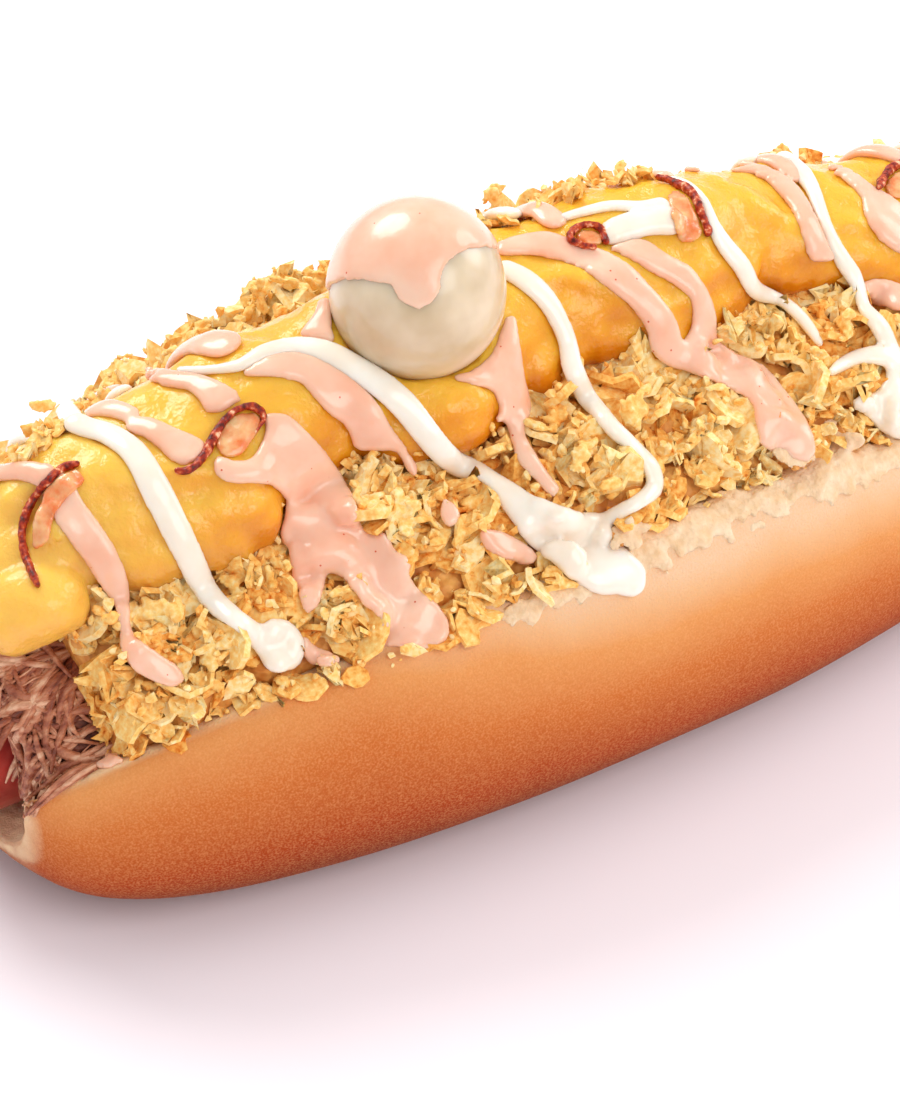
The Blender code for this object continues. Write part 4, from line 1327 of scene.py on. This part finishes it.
# %% Sauce finishes
pink_look = Finish("pink_sauce_gloss", 0.22, Coat_Weight=0.35, Coat_Roughness=0.08)
pink_base = pink_look.two_tone(pink_look.noise(7.0, 3.0), (246, 184, 154), (250, 202, 176))
specks = pink_look.ramp(pink_look.cells(2.4), (0.045, 1.0), (0.075, 0.0))
pink_look.colour(pink_look.blend(specks, pink_base, (214, 92, 62)))
pink_look.bump(pink_look.noise(2.6, 3.0), 0.2, 0.4)
pink_look.under_skin(0.5, 1.6, (1.0, 0.55, 0.4))
white_look = Finish("white_sauce_gloss", 0.2, Coat_Weight=0.35, Coat_Roughness=0.08)
white_look.colour(white_look.two_tone(white_look.noise(8.0, 3.0), (246, 230, 212), (252, 242, 230)))
white_look.bump(white_look.noise(3.0, 2.0), 0.15, 0.3)
white_look.under_skin(0.5, 1.8, (1.0, 0.8, 0.65))
dress(pink, pink_look.material, "pineapple", "pineapple_sauce")
dress(white, white_look.material, "chips", "pineapple_sauce")
dress(cap, pink_look.material, "egg", "quail_egg")

# %% [markdown]
# ## The bacon
#
# Five curls of fried bacon lie on the sauce. Each is a brown, beaded rind round a thin amber
# slice that light shines through. Both follow the picture, like the sauces, and are melted in
# finer voxels. Noise roughens them, since fried bacon shrinks unevenly.

# %% Bacon curls
BACON_RINDS = {
    "bacon_1": ((80, 466, 1.3), (66, 469, 1.6), (52, 478, 1.8), (36, 497, 1.9), (26, 522, 1.9),
        (25, 549, 1.8), (32, 574, 1.6), (39, 588, 1.1)),
    "bacon_2": ((176, 472, 1.3), (188, 472, 1.8), (200, 464, 2.0), (208, 452, 2.0), (215, 438, 1.9),
        (223, 424, 1.7), (233, 414, 1.6), (244, 408, 1.5), (256, 409, 1.6), (264, 416, 1.4),
        (260, 427, 1.1), (252, 436, 0.9)),
    "bacon_3": ((606, 246, 1.6), (600, 230, 1.6), (588, 226, 1.5), (574, 231, 1.6), (568, 241, 1.5),
        (580, 247, 1.2), (596, 250, 1.4)),
    "bacon_4": ((655, 181, 1.2), (666, 183, 1.5), (679, 188, 1.7), (691, 196, 1.8), (697, 209, 1.8),
        (701, 221, 1.8), (707, 230, 1.8), (705, 238, 1.3)),
    "bacon_5": ((876, 192, 1.3), (882, 181, 1.8), (892, 170, 1.9), (905, 164, 1.9), (918, 168, 1.7),
        (926, 178, 1.3)),
}
BACON_SLICES = {
    "bacon_1": ((78, 468), (60, 478), (45, 495), (36, 520), (34, 548), (48, 540), (56, 515), (70, 495),
        (84, 482)),
    "bacon_2": ((215, 446), (224, 428), (238, 415), (256, 414), (260, 425), (252, 440), (240, 456),
        (225, 458)),
    "bacon_3": ((574, 240), (584, 231), (598, 234), (602, 245), (588, 246)),
    "bacon_4": ((668, 196), (678, 192), (688, 200), (695, 215), (701, 232), (692, 243), (678, 240),
        (672, 222)),
    "bacon_5": ((884, 188), (894, 175), (908, 170), (918, 178), (910, 196), (892, 200)),
}
topped = [tree_of(pink), tree_of(white), ridge_tree, pile_tree]
rind_look = Finish("fried_rind_with_glints", 0.42, Specular_IOR_Level=0.3, Coat_Weight=0.15, Coat_Roughness=0.1)
# The palest stop paints small bright specks: painted glints on the rind, among its real red-brown.
rind_look.colour(
    rind_look.ramp(
        rind_look.noise(0.9, 4.0),
        (0.34, (86, 12, 2)),
        (0.48, (160, 38, 12)),
        (0.60, (204, 84, 34)),
        (0.70, (250, 200, 160)),
    )
)
rind_look.bump(rind_look.sum(rind_look.cells(0.6), rind_look.noise(0.4, 3.0), 0.6), 0.2, 0.9)
rind_look.under_skin(0.2, 0.8, (1.0, 0.3, 0.2))
slice_look = Finish("amber_bacon", 0.2, Coat_Weight=0.5, Coat_Roughness=0.08)
slice_look.colour(slice_look.two_tone(slice_look.noise(2.2, 3.0), (236, 122, 56), (250, 186, 130)))
slice_look.bump(slice_look.noise(1.2, 3.0), 0.25, 0.6)
slice_look.under_skin(0.6, 2.0, (1.0, 0.35, 0.15))
RIND_WIDTH, RIND_THICK, SLICE_THICK, SLICE_STEP_PX = 0.72, 1.9, 0.7, 3.0
for name, places in BACON_RINDS.items():
    narrowed = [(across_px, down_px, RIND_WIDTH * width) for across_px, down_px, width in places]
    rind = melted_sauce(name + "_rind", picture_ribbon(narrowed, RIND_THICK, 0.05, topped), 0.26, 2)
    skin_points = points_of(rind)
    push_out(rind, 0.22 * cloud(skin_points, 3.4, 3.0) + 0.14 * cloud(skin_points, 0.8, 1.0))
    dress(rind, rind_look.material, "bacon", name)
    slice_drops = picture_sheet(BACON_SLICES[name], SLICE_THICK, 0.1, topped, SLICE_STEP_PX)
    inner = melted_sauce(name + "_slice", slice_drops, 0.25, 2)
    push_out(inner, 0.2 * cloud(points_of(inner), 1.6, 3.0))
    dress(inner, slice_look.material, "bacon", name)
